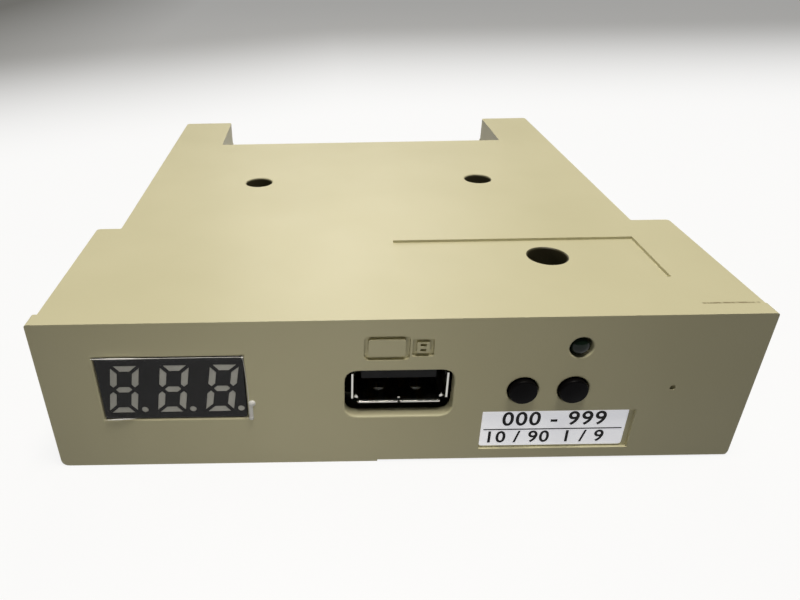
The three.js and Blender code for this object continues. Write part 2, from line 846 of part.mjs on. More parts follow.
function lightLens() {
  const profile = [
    [0, -lightProud],
    ...lightDomeShares.map(([out, back]) => [lightRadius * out, lightDomeDepth * back - lightProud]),
    [lightRadius, lightRear - lightRim],
    [lightRimRadius, lightRear - lightRim],
    [lightRimRadius, lightRear],
    [0, lightRear],
  ];
  return turned(profile, false).translate([lightX, 0, lightZ]);
}

function lightLead(x) {
  const half = leadThickness / 2;
  const along = box(x - half, x + half, lightRear, leadTurn + half, lightZ - half, lightZ + half);
  const down = box(x - half, x + half, leadTurn - half, leadTurn + half, boardTop, lightZ + half);
  return along.add(down);
}

function lightPost() {
  const rear = leadTurn - leadThickness / 2 - postGap;
  return box(lightX - postWidth / 2, lightX + postWidth / 2, rear - postDepth, rear,
    boardTop, lightZ - leadThickness / 2 - postGap);
}

// Display module: stepped case whose digits are let into its face
const slant = Math.tan(THREE.MathUtils.degToRad(digitSlantDegrees));

// Seven outlines of one digit about its own middle, upright
function digitOutlines() {
  const w = digitWidth / 2;
  const h = digitHeight / 2;
  const b = segmentWidth;
  const g = segmentGap;
  const bar = [[-w + g, h], [w - g, h], [w - b - g, h - b], [-w + b + g, h - b]];
  const upright = [
    [-w, h - g], [-w + b, h - b - g], [-w + b, b / 2 + g], [-w + b / 2, g], [-w, b / 2 + g],
  ];
  const middle = [
    [-w + b / 2 + g, 0], [-w + b + g, b / 2], [w - b - g, b / 2],
    [w - b / 2 - g, 0], [w - b - g, -b / 2], [-w + b + g, -b / 2],
  ];
  const flip = (points, sx, sz) => points.map(([px, pz]) => [sx * px, sz * pz]);
  const bars = [bar, flip(bar, 1, -1)];
  const uprights = [-1, 1].flatMap((sx) => [-1, 1].map((sz) => flip(upright, sx, sz)));
  return [...bars, ...uprights, middle];
}

function digitCuts(x, z, floorY) {
  const lean = ([px, pz]) => [x + px + pz * slant, z + pz];
  const segments = digitOutlines().map((points) => driven(outline(points.map(lean)), 0, floorY));
  const [pointX, pointZ] = lean([pointReach, pointRadius - digitHeight / 2]);
  return [...segments, rodY(pointX, pointZ, pointRadius, 0, floorY, smallSides)];
}

function displayCase() {
  const bossWidth = windowWidth - 2 * windowClearance;
  const bossHeight = windowHeight - 2 * windowClearance;
  const bossFace = centred(windowX, windowZ, bossWidth, bossHeight);
  const boss = driven(bossFace, displaySetback, displayShelf + overrun);
  const body = driven(centred(windowX, windowZ, displayWidth, displayHeight), displayShelf, displayRear);
  const digits = spread(windowX + digitShift, digitPitch, digitCount);
  const floorY = displaySetback + segmentDrop;
  return cut(boss.add(body), digits.flatMap((x) => digitCuts(x, windowZ - digitDrop, floorY)));
}

function displayBoard() {
  const shape = rectangle(windowX - displayBoardWidth / 2, windowX + displayBoardWidth / 2,
    coverFloor + displayBoardFloorGap, ceiling - displayBoardTopGap, boardCornerRadius / 2);
  return driven(shape, displayRear, displayRear + displayBoardThickness);
}

// Square pin that runs back from a header's strip and bends down to the board
function bentPin(x, z, bendY, tipY) {
  const half = pinThickness / 2;
  const along = box(x - half, x + half, bendY - half, tipY, z - half, z + half);
  const down = box(x - half, x + half, bendY - half, bendY + half, boardTop, z + half);
  return along.add(down);
}

function headerStrip(x, columns, y0, z0, depth, height) {
  const half = columns * pinPitch / 2;
  return box(x - half, x + half, y0, y0 + depth, z0, z0 + height);
}

// Header that joins the display board to the main board
function displayHeader() {
  const start = displayRear + displayBoardThickness;
  const z = boardTop + displayHeaderRise;
  const strip = headerStrip(windowX, displayColumns, start, z - pinPitch / 2, headerDepth, pinPitch);
  const half = pinThickness / 2;
  const bend = start + headerDepth + pinPitch;
  const pins = spread(windowX, pinPitch, displayColumns).map((x) => joined([
    box(x - half, x + half, start, bend + half, z - half, z + half),
    box(x - half, x + half, bend - half, bend + half, boardTop, z + half),
  ]));
  return joined([strip, ...pins]);
}

// Two-row drive header at the back edge of the board
function driveHeader() {
  const bottom = boardTop + headerLift;
  const rows = [0, 1].map((row) => bottom + pinPitch * (row + 1 / 2));
  const strip = headerStrip(driveHeaderX, driveColumns, headerY, bottom, headerDepth, 2 * pinPitch);
  const pins = spread(driveHeaderX, pinPitch, driveColumns).flatMap((x) => rows.map((z, row) => bentPin(
    x, z, headerY - pinPitch * (row + 1 / 2), headerY + headerDepth + pinReach,
  )));
  return joined([strip, ...pins]);
}

// Upright two-row header for the setting jumpers
const jumperRows = [0, 1].map((row) => headerY + pinPitch * (row + 1 / 2));

function jumperHeader() {
  const front = jumperRows[0] - pinPitch / 2;
  const strip = headerStrip(jumperHeaderX, jumperColumns, front, boardTop, 2 * pinPitch, headerDepth);
  const half = pinThickness / 2;
  const tip = boardTop + headerDepth + jumperPinReach;
  const pins = spread(jumperHeaderX, pinPitch, jumperColumns).flatMap((x) => jumperRows.map((y) => box(
    x - half, x + half, y - half, y + half, boardTop, tip,
  )));
  return joined([strip, ...pins]);
}

// Jumper cap: a block with one bore for each of its two pins
function jumperCap(column) {
  const x = spread(jumperHeaderX, pinPitch, jumperColumns)[column];
  const bore = pinThickness / 2 + capPinGap;
  const halfX = bore + capWall;
  const bottom = boardTop + headerDepth;
  const body = box(x - halfX, x + halfX, jumperRows[0] - halfX, jumperRows[1] + halfX,
    bottom, bottom + jumperPinReach + capPinGap + capRoof);
  const top = bottom + jumperPinReach + capPinGap;
  return cut(body, jumperRows.map((y) => box(x - bore, x + bore, y - bore, y + bore, bottom - overrun, top)));
}

// Power connector: back wall, floor and side ribs round four pins
function powerConnector() {
  const left = powerX - powerWidth / 2;
  const right = powerX + powerWidth / 2;
  const rear = headerY + powerBack;
  const reach = rear + powerFloorReach;
  const ribTop = boardTop + powerFloor + powerRibHeight;
  const back = box(left, right, headerY, rear, boardTop, boardTop + powerHeight);
  const floor = box(left, right, headerY, reach, boardTop, boardTop + powerFloor);
  const ribs = [left, right - powerWall].map((x) => (
    box(x, x + powerWall, headerY, reach, boardTop, ribTop)));
  const pins = spread(powerX, powerPitch, powerPins).map((x) => bentPin(
    x, boardTop + powerPinHeight, headerY - pinPitch / 2, rear + pinReach,
  ));
  return joined([back, floor, ...ribs, ...pins]);
}

// Chips, with gull-wing leads along two or four sides
function gullLead(reachStart, width) {
  const inner = reachStart - chipLeadReach / 2;
  const knee = reachStart + chipLeadReach / 2;
  const tip = reachStart + chipLeadReach;
  const mid = boardTop + chipLift + chipHeight / 2;
  const lead = new THREE.Shape();
  lead.moveTo(inner, mid);
  lead.lineTo(knee - chipLeadThickness, mid);
  lead.lineTo(knee - chipLeadThickness, boardTop);
  lead.lineTo(tip, boardTop);
  lead.lineTo(tip, boardTop + chipLeadThickness);
  lead.lineTo(knee, boardTop + chipLeadThickness);
  lead.lineTo(knee, mid + chipLeadThickness);
  lead.lineTo(inner, mid + chipLeadThickness);
  return drawn(lead, -width / 2, width / 2);
}

function leadRow(reachStart, width, pitch, count) {
  return joined(spread(0, pitch, count).map((x) => gullLead(reachStart, width).translate([x, 0, 0])));
}

function onBoard([shareX, shareY]) {
  return [boardLeft + shareX * boardWidth, boardFront + shareY * boardDepth, 0];
}

function chipBlock(halfX, halfY) {
  return box(-halfX, halfX, -halfY, halfY, boardTop + chipLift, boardTop + chipLift + chipHeight);
}

function controllerChip() {
  const half = chipWidth / 2;
  const row = leadRow(half, chipLeadWidth, chipLeadPitch, chipLeads);
  const rows = countUp(4).map((turn) => row.rotate([0, 0, turn * 90]));
  return joined([chipBlock(half, half), ...rows]).translate(onBoard(chipPlaceShares));
}

function driverChip() {
  const row = leadRow(driverWidth / 2, driverLeadWidth, driverLeadPitch, driverLeads);
  const block = chipBlock(driverLength / 2, driverWidth / 2);
  return joined([block, row, row.rotate([0, 0, 180])]).translate(onBoard(driverPlaceShares));
}

function crystal() {
  const rim = 2 * crystalBaseRim;
  const canPlan = centred(0, 0, crystalLength, crystalWidth, crystalWidth / 2 - crystalBaseRim);
  const basePlan = centred(0, 0, crystalLength + rim, crystalWidth + rim, crystalWidth / 2);
  const can = raised(canPlan, boardTop, boardTop + crystalHeight);
  const base = raised(basePlan, boardTop, boardTop + crystalBase);
  return can.add(base).translate(onBoard(crystalPlaceShares));
}

function regulator() {
  const halfX = regulatorWidth / 2;
  const halfY = regulatorDepth / 2;
  const body = box(-halfX, halfX, -halfY, halfY, boardTop, boardTop + regulatorHeight);
  const tab = box(-regulatorTabWidth / 2, regulatorTabWidth / 2, -halfY, halfY + regulatorTabReach,
    boardTop, boardTop + regulatorTab);
  const legs = spread(0, regulatorWidth / 3, 3).map((x) => box(
    x - regulatorTab, x + regulatorTab, -halfY - regulatorTabReach, -halfY + regulatorTab,
    boardTop, boardTop + regulatorTab,
  ));
  return joined([body, tab, ...legs]).translate(onBoard(regulatorPlaceShares));
}

// Electrolytic capacitor: rolled can with a waist above its base
function canCapacitor(shares) {
  const top = boardTop + canHeight;
  const waist = boardTop + canBase + canWaist;
  const profile = [
    [0, boardTop + canBase],
    [canRadius, boardTop + canBase],
    [canRadius, waist - canEdge],
    [canRadius - canEdge, waist],
    [canRadius, waist + canEdge],
    [canRadius, top - canEdge],
    [canRadius - canEdge, top],
    [0, top],
  ];
  const basePlan = centred(0, 0, 2 * canRadius, 2 * canRadius, canEdge);
  const base = raised(basePlan, boardTop, boardTop + canBase);
  return turned(profile, true, smallSides).add(base).translate(onBoard(shares));
}

// Assembly
addPiece('upper_housing', upperHousing(), finishes.housing);
addPiece('bottom_cover', bottomCover(), finishes.housing);
wells.forEach((well) => addPiece(
  `case_screw_${well.name}`,
  screw(well.x, well.y, wellBottom + wellFloor, screwTip),
  finishes.screw,
));
boardScrews.forEach((spot) => addPiece(
  `board_screw_${spot.name}`,
  screw(spot.x, spot.y, boardTop, screwTip),
  finishes.screw,
));
addPiece('main_board', mainBoard(), finishes.board);
addPiece('socket_shell', socketShell(), finishes.socketShell);
addPiece('socket_tongue', socketTongue(), finishes.blackPlastic);
spread(socketX, contactPitch, contactCount).forEach((x, i) => addPiece(
  `socket_contact_${i + 1}`, socketContact(x), finishes.contact,
));
buttonPlaces.forEach((x, i) => {
  const side = ['left', 'right'][i];
  addPiece(`${side}_button_cap`, buttonCap(x), finishes.button);
  addPiece(`${side}_switch_plunger`, switchPlunger(x), finishes.blackPlastic);
  addPiece(`${side}_switch_body`, switchBody(x), finishes.blackPlastic);
  addPiece(`${side}_switch_cover`, switchCover(x), finishes.sheetSteel);
});
addPiece('status_light', lightLens(), finishes.lens);
spread(lightX, leadSpacing, 2).forEach((x, i) => addPiece(
  `status_light_lead_${i + 1}`, lightLead(x), finishes.sheetSteel,
));
addPiece('status_light_post', lightPost(), finishes.blackPlastic);
addPiece('display_case', displayCase(), finishes.display);
addPiece('display_board', displayBoard(), finishes.board);
addPiece('display_header', displayHeader(), finishes.blackPlastic);
addPiece('drive_header', driveHeader(), finishes.blackPlastic);
addPiece('jumper_header', jumperHeader(), finishes.blackPlastic);
jumperCapColumns.forEach((column, i) => addPiece(
  `jumper_cap_${i + 1}`, jumperCap(column), finishes.blackPlastic,
));
addPiece('power_connector', powerConnector(), finishes.nylon);
addPiece('controller_chip', controllerChip(), finishes.blackPlastic);
addPiece('display_driver_chip', driverChip(), finishes.blackPlastic);
addPiece('crystal', crystal(), finishes.can);
addPiece('voltage_regulator', regulator(), finishes.blackPlastic);
canPlaceShares.forEach((shares, i) => addPiece(`capacitor_${i + 1}`, canCapacitor(shares), finishes.can));

model.position.y = (buttonProud - caseDepth) / 2;

export default model;
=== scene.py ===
"""Looks of a drive emulator for a 3.5 inch bay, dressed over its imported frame.

Blender works in metres and the sizes below are in millimetres, so every length passes through MM once.
The face looks towards -Y, X runs to the viewer's right and Z is up.
"""

from __future__ import annotations

import logging
import math
from dataclasses import dataclass, field
from enum import Enum
from typing import Iterable, Sequence

import bmesh
import bpy
from mathutils import Matrix, Vector, geometry, noise

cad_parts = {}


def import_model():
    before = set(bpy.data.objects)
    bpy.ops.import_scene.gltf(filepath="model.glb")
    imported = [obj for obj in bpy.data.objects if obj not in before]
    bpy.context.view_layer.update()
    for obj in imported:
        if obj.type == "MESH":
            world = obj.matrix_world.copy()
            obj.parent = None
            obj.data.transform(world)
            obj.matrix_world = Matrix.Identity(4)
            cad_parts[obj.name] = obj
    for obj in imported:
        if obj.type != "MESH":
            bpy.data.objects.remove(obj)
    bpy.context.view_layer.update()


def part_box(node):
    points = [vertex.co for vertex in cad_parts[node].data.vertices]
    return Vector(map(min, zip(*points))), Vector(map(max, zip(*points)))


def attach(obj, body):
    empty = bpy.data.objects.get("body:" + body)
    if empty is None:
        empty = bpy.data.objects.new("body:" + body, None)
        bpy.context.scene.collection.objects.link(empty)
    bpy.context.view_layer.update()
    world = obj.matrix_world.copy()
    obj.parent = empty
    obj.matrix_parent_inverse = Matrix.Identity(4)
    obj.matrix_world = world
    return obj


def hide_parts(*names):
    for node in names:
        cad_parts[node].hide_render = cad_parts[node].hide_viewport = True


MM = 0.001
CASE_BODY = "case"
BUTTON_SIDES = ("left", "right")
log = logging.getLogger("drive_emulator")

# Unit direction from the left end of the face to the right
ACROSS = Vector((1.0, 0.0, 0.0))
QUARTER = math.pi / 2

# Edges that bend further than this stay crisp in shading
CREASE_DEGREES = 40.0
# Edges that bend further than this are rounded, on mouldings and on turned pieces
EDGE_DEGREES, TURNED_DEGREES = 32.0, 50.0
# Corners nearer together than this are one, and faces that bend by less than this are one flat
WELD_MM, FLAT_DEGREES = 0.005, 0.4
# Steps across a rounded edge of a moulding
EDGE_STEPS = 3
# A gap lies sideways of an edge where less than this share of it runs along the edge
AHEAD_SHARE = 0.7
# No corner counts as turning inward by more than this, in radians
SHARPEST_TURN = 2.9
# Room that a rounding needs between the corners of its edge and from edge to edge, in times its radius
CORNER_ROOM, SIDE_ROOM = 1.1, 3.3
# Edges shorter than this many radii stay sharp together where they meet
SHORT_EDGE = 4

# Pin headers: distance from pin to pin, thickness of a pin and depth of the strip that holds it
HEADER_PITCH, HEADER_PIN, STRIP_DEPTH = 2.54, 0.64, 2.5

# Noise keeps mostly within these levels, which are spread over the whole range of tone and of gloss
TONE_LEVELS, GLOSS_LEVELS = (0.32, 0.68), (0.3, 0.7)
# Least roughness that a patch gets
LEAST_ROUGHNESS = 0.02
# Rolling draws each line of the relief out to this many times its width
ROLLED_STRETCH = 12.0

# Sockets of Blender's Mix node when it mixes colours
MIX_FACTOR, MIX_A, MIX_B, MIX_RESULT = 0, 6, 7, 2

Pair = tuple[float, float]
Triple = tuple[float, float, float]
Outline = list[Pair]
Colour = tuple[float, float, float, float]
Tree, Socket, Piece = bpy.types.NodeTree, bpy.types.NodeSocket, bpy.types.Object
Shape, Edge, Corner = bmesh.types.BMesh, bmesh.types.BMEdge, bmesh.types.BMVert


def linear(hex_colour: str) -> Colour:
    """Turns an sRGB hex colour to linear light.

    Args:
        hex_colour: Six hex digits, without a mark in front.

    Returns:
        Red, green, blue and an opaque alpha.
    """
    channels = [int(hex_colour[i:i + 2], 16) / 255 for i in (0, 2, 4)]
    red, green, blue = (c / 12.92 if c <= 0.04045 else ((c + 0.055) / 1.055) ** 2.4 for c in channels)
    return red, green, blue, 1.0


def per_metre(size_mm: float) -> float:
    """Gives the texture scale whose pattern repeats at a size in millimetres."""
    return 1 / (size_mm * MM)


def add_node(tree: Tree, kind: str, inputs: dict | None = None, **settings: object) -> bpy.types.Node:
    """Adds a node, with its settings, its values and its links.

    Args:
        tree: Node tree that gets the node.
        kind: Blender's type name of the node.
        inputs: Input name or number to a plain value, or to the output that feeds it.
        **settings: Properties of the node itself.

    Returns:
        The new node.
    """
    node = tree.nodes.new(kind)
    for name, value in settings.items():
        setattr(node, name, value)
    for name, value in (inputs or {}).items():
        if isinstance(value, Socket):
            tree.links.new(value, node.inputs[name])
        else:
            node.inputs[name].default_value = value
    return node


def cleared_tree(owner: bpy.types.Material | bpy.types.World) -> Tree:
    """Switches on the nodes of a material or a world, and clears them."""
    owner.use_nodes = True
    owner.node_tree.nodes.clear()
    return owner.node_tree


class Grain(Enum):
    """How the making of a surface leaves its fine relief."""

    MOULDED = "pebbled by the mould's spark-eroded steel"
    ROLLED = "drawn out in fine lines by rolling or drawing"
    CAST = "smooth, as cast or polished"


@dataclass(frozen=True)
class Finish:
    """One real material, with the relief and the drift of tone that its making leaves.

    Attributes:
        title: Name of the material in Blender.
        colour: Hex colour of the body.
        tone: Hex colour that the body drifts to in slow patches.
        roughness: Typical roughness of the surface.
        metallic: One for metals and nought for the rest.
        ior: Refractive index. A metal keeps Blender's default.
        gleam: Level of the surface reflection, one half being what the index gives.
        coat: Weight of a clear gloss over the body.
        drift_mm: Size of the slow patches of tone.
        grain: How the surface was made.
        grain_mm: Size of one pebble or line of the relief.
        grain_depth_mm: Height of the relief.
        gloss_spread: How far roughness wanders from patch to patch.
    """

    title: str
    colour: str
    tone: str
    roughness: float
    metallic: float = 0.0
    ior: float = 1.5
    gleam: float = 0.5
    coat: float = 0.0
    drift_mm: float = 12.0
    grain: Grain = Grain.MOULDED
    grain_mm: float = 0.3
    grain_depth_mm: float = 0.004
    gloss_spread: float = 0.06

    def material(self) -> bpy.types.Material:
        """Makes the material, or finds the one made before."""
        made = bpy.data.materials.get(self.title)
        if made is None:
            made = bpy.data.materials.new(self.title)
            tree = cleared_tree(made)
            add_node(tree, "ShaderNodeOutputMaterial", {"Surface": self.surface(tree)})
            made.diffuse_color = linear(self.colour)
        return made

    def coordinates(self, tree: Tree) -> Socket:
        """Gives coordinates in metres that stay with the piece."""
        return add_node(tree, "ShaderNodeTexCoord").outputs["Object"]

    def body_colour(self, tree: Tree, place: Socket) -> Socket:
        """Mixes the two tones in slow patches.

        Args:
            tree: The material's node tree.
            place: Coordinates in metres.

        Returns:
            The colour output.
        """
        patches = add_node(tree, "ShaderNodeTexNoise", {
            "Vector": place, "Scale": per_metre(self.drift_mm), "Detail": 3.0, "Roughness": 0.55})
        spread = add_node(tree, "ShaderNodeMapRange", {
            "Value": patches.outputs["Fac"], "From Min": TONE_LEVELS[0], "From Max": TONE_LEVELS[1]})
        mix = add_node(tree, "ShaderNodeMix", {
            MIX_FACTOR: spread.outputs["Result"], MIX_A: linear(self.colour), MIX_B: linear(self.tone)},
            data_type="RGBA")
        return mix.outputs[MIX_RESULT]

    def relief(self, tree: Tree, place: Socket) -> Socket:
        """Raises the grain of the surface.

        Args:
            tree: The material's node tree.
            place: Coordinates in metres.

        Returns:
            The normal output.
        """
        stretch = ROLLED_STRETCH if self.grain is Grain.ROLLED else 1.0
        drawn = add_node(tree, "ShaderNodeMapping", {"Vector": place, "Scale": (1.0, stretch, stretch)})
        pebbles = add_node(tree, "ShaderNodeTexNoise", {
            "Vector": drawn.outputs["Vector"], "Scale": per_metre(self.grain_mm), "Detail": 2.0})
        bump = add_node(tree, "ShaderNodeBump", {
            "Height": pebbles.outputs["Fac"], "Strength": 1.0, "Distance": self.grain_depth_mm * MM})
        return bump.outputs["Normal"]

    def gloss(self, tree: Tree, place: Socket) -> Socket:
        """Lets the roughness wander round its typical value.

        Args:
            tree: The material's node tree.
            place: Coordinates in metres.

        Returns:
            The roughness output.
        """
        patches = add_node(tree, "ShaderNodeTexNoise", {
            "Vector": place, "Scale": per_metre(self.drift_mm / 3), "Detail": 4.0})
        wander = add_node(tree, "ShaderNodeMapRange", {
            "Value": patches.outputs["Fac"], "From Min": GLOSS_LEVELS[0], "From Max": GLOSS_LEVELS[1],
            "To Min": max(self.roughness - self.gloss_spread, LEAST_ROUGHNESS),
            "To Max": self.roughness + self.gloss_spread})
        return wander.outputs["Result"]

    def surface(self, tree: Tree) -> Socket:
        """Builds the shader and gives its output."""
        place = self.coordinates(tree)
        values = {
            "Base Color": self.body_colour(tree, place), "Roughness": self.gloss(tree, place),
            "Normal": self.relief(tree, place), "Metallic": self.metallic, "Coat Weight": self.coat,
            "Specular IOR Level": self.gleam}
        if not self.metallic:
            values["IOR"] = self.ior
        return add_node(tree, "ShaderNodeBsdfPrincipled", values).outputs["BSDF"]


@dataclass(frozen=True)
class ScuffedAbs(Finish):
    """Moulded ABS with one dark rub mark near a corner of the lid, and painted shade that darkens the walls
    of the screw wells.

    Attributes:
        scuff: Hex colour of what the rub left behind.
        scuff_low_mm: Lowest corner of the rubbed stretch.
        scuff_high_mm: Highest corner of the rubbed stretch.
        scuff_edge_mm: How softly the mark ends.
        scuff_grain_mm: Size of the breaks in the mark.
        scuff_levels: Levels of noise between which a break closes.
        painted_well_shade: Hex colour of the painted shade on the walls of the screw wells.
        well_nodes: Screws that stand in the wells, with the radius that the painted shade reaches.
        unshaded_mm: Depth of wall under the lid left without painted shade, and the depth over which the
            shade starts.
    """

    scuff: str = "867c5f"
    scuff_low_mm: Triple = (42.0, -47.0, 25.0)
    scuff_high_mm: Triple = (49.6, -46.9, 26.0)
    scuff_edge_mm: float = 0.25
    scuff_grain_mm: float = 0.9
    scuff_levels: Pair = (0.3, 0.5)
    painted_well_shade: str = "45412f"
    well_nodes: tuple[tuple[str, float], ...] = (
        ("case_screw_rear_left", 2.9), ("case_screw_rear_right", 2.9), ("case_screw_front_right", 3.3))
    unshaded_mm: Pair = (0.1, 0.5)

    def well_walls(self, tree: Tree, place: Socket, height: Socket) -> Socket:
        """Marks the walls of the screw wells under the lid, which get painted shade.

        Args:
            tree: The material's node tree.
            place: Coordinates in metres.
            height: Their Z alone.

        Returns:
            One on the walls, and nought elsewhere.
        """
        lid = node_box("upper_housing")[1].z
        starts, full = (lid - depth for depth in self.unshaded_mm)
        depth = add_node(tree, "ShaderNodeMapRange", {
            "Value": height, "From Min": starts * MM, "From Max": full * MM})
        flat = add_node(tree, "ShaderNodeVectorMath", {0: place, 1: (1.0, 1.0, 0.0)}, operation="MULTIPLY")
        inside = None
        for node, radius in self.well_nodes:
            low, high = node_box(node)
            axis = (low + high) / 2 * MM
            away = add_node(tree, "ShaderNodeVectorMath", {
                0: flat.outputs["Vector"], 1: (axis.x, axis.y, 0.0)}, operation="DISTANCE")
            disc = add_node(tree, "ShaderNodeMath", {0: away.outputs["Value"], 1: radius * MM},
                            operation="LESS_THAN")
            if inside is not None:
                disc = add_node(tree, "ShaderNodeMath", {0: inside, 1: disc.outputs[0]}, operation="MAXIMUM")
            inside = disc.outputs[0]
        return add_node(tree, "ShaderNodeMath", {0: inside, 1: depth.outputs["Result"]},
                        operation="MULTIPLY").outputs[0]

    def body_colour(self, tree: Tree, place: Socket) -> Socket:
        """Lays the rub mark and the painted shade of the screw wells over the drifting body colour.

        Args:
            tree: The material's node tree.
            place: Coordinates in metres.

        Returns:
            The colour output.
        """
        body = super().body_colour(tree, place)
        axes = add_node(tree, "ShaderNodeSeparateXYZ", {"Vector": place})
        inside = None
        for axis, low, high in zip("XYZ", self.scuff_low_mm, self.scuff_high_mm):
            half = (high - low) / 2 * MM
            away = add_node(tree, "ShaderNodeMath", {0: axes.outputs[axis], 1: (low + high) / 2 * MM},
                            operation="SUBTRACT")
            size = add_node(tree, "ShaderNodeMath", {0: away.outputs[0]}, operation="ABSOLUTE")
            band = add_node(tree, "ShaderNodeMapRange", {
                "Value": size.outputs[0], "From Min": half + self.scuff_edge_mm * MM, "From Max": half})
            if inside is not None:
                band = add_node(tree, "ShaderNodeMath", {0: inside, 1: band.outputs[0]},
                                operation="MULTIPLY")
            inside = band.outputs[0]
        broken = add_node(tree, "ShaderNodeTexNoise", {
            "Vector": place, "Scale": per_metre(self.scuff_grain_mm), "Detail": 4.0})
        low, high = self.scuff_levels
        torn = add_node(tree, "ShaderNodeMapRange", {
            "Value": broken.outputs["Fac"], "From Min": low, "From Max": high})
        mark = add_node(tree, "ShaderNodeMath", {0: inside, 1: torn.outputs["Result"]}, operation="MULTIPLY")
        mix = add_node(tree, "ShaderNodeMix", {
            MIX_FACTOR: mark.outputs[0], MIX_A: body, MIX_B: linear(self.scuff)}, data_type="RGBA")
        # Painted shade: the walls of the screw wells are darkened below the lid.
        walls = self.well_walls(tree, place, axes.outputs["Z"])
        mix = add_node(tree, "ShaderNodeMix", {
            MIX_FACTOR: walls, MIX_A: mix.outputs[MIX_RESULT], MIX_B: linear(self.painted_well_shade)}, data_type="RGBA")
        return mix.outputs[MIX_RESULT]


@dataclass(frozen=True)
class BrightPaper(Finish):
    """Paper with a painted glow: an emission that shows it brighter than the light falling on it.

    Attributes:
        painted_glow: Strength of that glow.
        glow_tint: Hex colour of the glow.
    """

    painted_glow: float = 0.42
    glow_tint: str = "f2f4ff"

    def surface(self, tree: Tree) -> Socket:
        """Adds the painted glow to the paper."""
        paper = super().surface(tree)
        # Painted glow: the paper emits light of its own on top of what the lamps give it.
        paper.node.inputs["Emission Color"].default_value = linear(self.glow_tint)
        paper.node.inputs["Emission Strength"].default_value = self.painted_glow
        return paper


@dataclass(frozen=True)
class SolderMask(Finish):
    """Green photo-imaged lacquer over copper tracks on glass laminate.

    Attributes:
        track: Hex colour of the lacquer where copper lies under it.
        track_pitch_mm: Spacing of the tracks.
        track_width_mm: Width of one track.
        run_mm: Length of a straight run before it turns.
        stagger: Share of a run by which each track starts later than the one beside it.
        zone_mm: Size of the patches in which all tracks run one way.
        front_shade: Hex colour of the painted shade along the front edge, a black strip that keeps green out
            of the openings.
        front_shade_mm: Depth of that strip.
    """

    track: str = "3f7d45"
    track_pitch_mm: float = 1.9
    track_width_mm: float = 0.32
    run_mm: float = 9.0
    stagger: float = 0.37
    zone_mm: float = 14.0
    front_shade: str = "0b0c0c"
    front_shade_mm: float = 9.0

    def body_colour(self, tree: Tree, place: Socket) -> Socket:
        """Draws runs of track along X and along Y, lightens the lacquer over them, and paints shade black
        along the front edge.

        Args:
            tree: The material's node tree.
            place: Coordinates in metres.

        Returns:
            The colour output.
        """
        body = super().body_colour(tree, place)
        seams = []
        for turn in (0.0, QUARTER):
            turned = add_node(tree, "ShaderNodeMapping", {"Vector": place, "Rotation": (0.0, 0.0, turn)})
            brick = add_node(tree, "ShaderNodeTexBrick", {
                "Vector": turned.outputs["Vector"], "Scale": 1.0, "Mortar Smooth": 0.0,
                "Mortar Size": self.track_width_mm * MM / 2, "Brick Width": self.run_mm * MM,
                "Row Height": self.track_pitch_mm * MM, "Color1": linear("000000"),
                "Color2": linear("000000"), "Mortar": linear("ffffff")}, offset=self.stagger)
            seams.append(brick.outputs["Color"])
        zones = add_node(tree, "ShaderNodeTexVoronoi", {"Vector": place, "Scale": per_metre(self.zone_mm)})
        choice = add_node(tree, "ShaderNodeMath", {0: zones.outputs["Color"], 1: 0.5},
                          operation="GREATER_THAN")
        runs = add_node(tree, "ShaderNodeMix", {
            MIX_FACTOR: choice.outputs[0], MIX_A: seams[0], MIX_B: seams[1]}, data_type="RGBA")
        mix = add_node(tree, "ShaderNodeMix", {
            MIX_FACTOR: runs.outputs[MIX_RESULT], MIX_A: body, MIX_B: linear(self.track)}, data_type="RGBA")
        # Painted shade: the board is black along its front edge, where it lies in shade behind the openings.
        axes = add_node(tree, "ShaderNodeSeparateXYZ", {"Vector": place})
        edge = (node_box("main_board")[0].y + self.front_shade_mm) * MM
        strip = add_node(tree, "ShaderNodeMath", {0: axes.outputs["Y"], 1: edge}, operation="LESS_THAN")
        mix = add_node(tree, "ShaderNodeMix", {
            MIX_FACTOR: strip.outputs[0], MIX_A: mix.outputs[MIX_RESULT], MIX_B: linear(self.front_shade)},
            data_type="RGBA")
        return mix.outputs[MIX_RESULT]


@dataclass(frozen=True)
class ClearSheet(Finish):
    """Thin clear plastic: mostly see-through, with a skin of reflection and a faint milky haze.

    Attributes:
        haze: Share of light that the sheet scatters where it faces the eye.
        edge_haze: The same where it is seen edge on.
        edge_blend: How early the second takes over as the sheet turns away.
    """

    haze: float = 0.05
    edge_haze: float = 0.75
    edge_blend: float = 0.35

    def surface(self, tree: Tree) -> Socket:
        """Mixes the glossy skin over what is behind it."""
        skin = super().surface(tree)
        clear = add_node(tree, "ShaderNodeBsdfTransparent")
        rim = add_node(tree, "ShaderNodeLayerWeight", {"Blend": self.edge_blend})
        share = add_node(tree, "ShaderNodeMapRange", {
            "Value": rim.outputs["Fresnel"], "To Min": self.haze, "To Max": self.edge_haze})
        return add_node(tree, "ShaderNodeMixShader", {
            0: share.outputs["Result"], 1: clear.outputs["BSDF"], 2: skin}).outputs["Shader"]


# Injection-moulded ABS in putty. The spark-eroded mould gives it a satin that spreads every highlight.
# The real pebbles are about 0.1 mm across and are drawn at 0.35 mm so that they show.
PUTTY_ABS = ScuffedAbs("moulded_putty_abs", "cdc8a7", "c6c19f", 0.42, ior=1.53, gleam=0.36, drift_mm=38.0,
                       grain_mm=0.35, grain_depth_mm=0.012, gloss_spread=0.035)
# ABS caps that fingers have dulled: deep black, with hardly a sheen on the crown.
BLACK_CAP_ABS = Finish("moulded_black_cap_abs", "070607", "0a090a", 0.45, gleam=0.05, drift_mm=3.0,
                       grain_mm=0.2, grain_depth_mm=0.004)
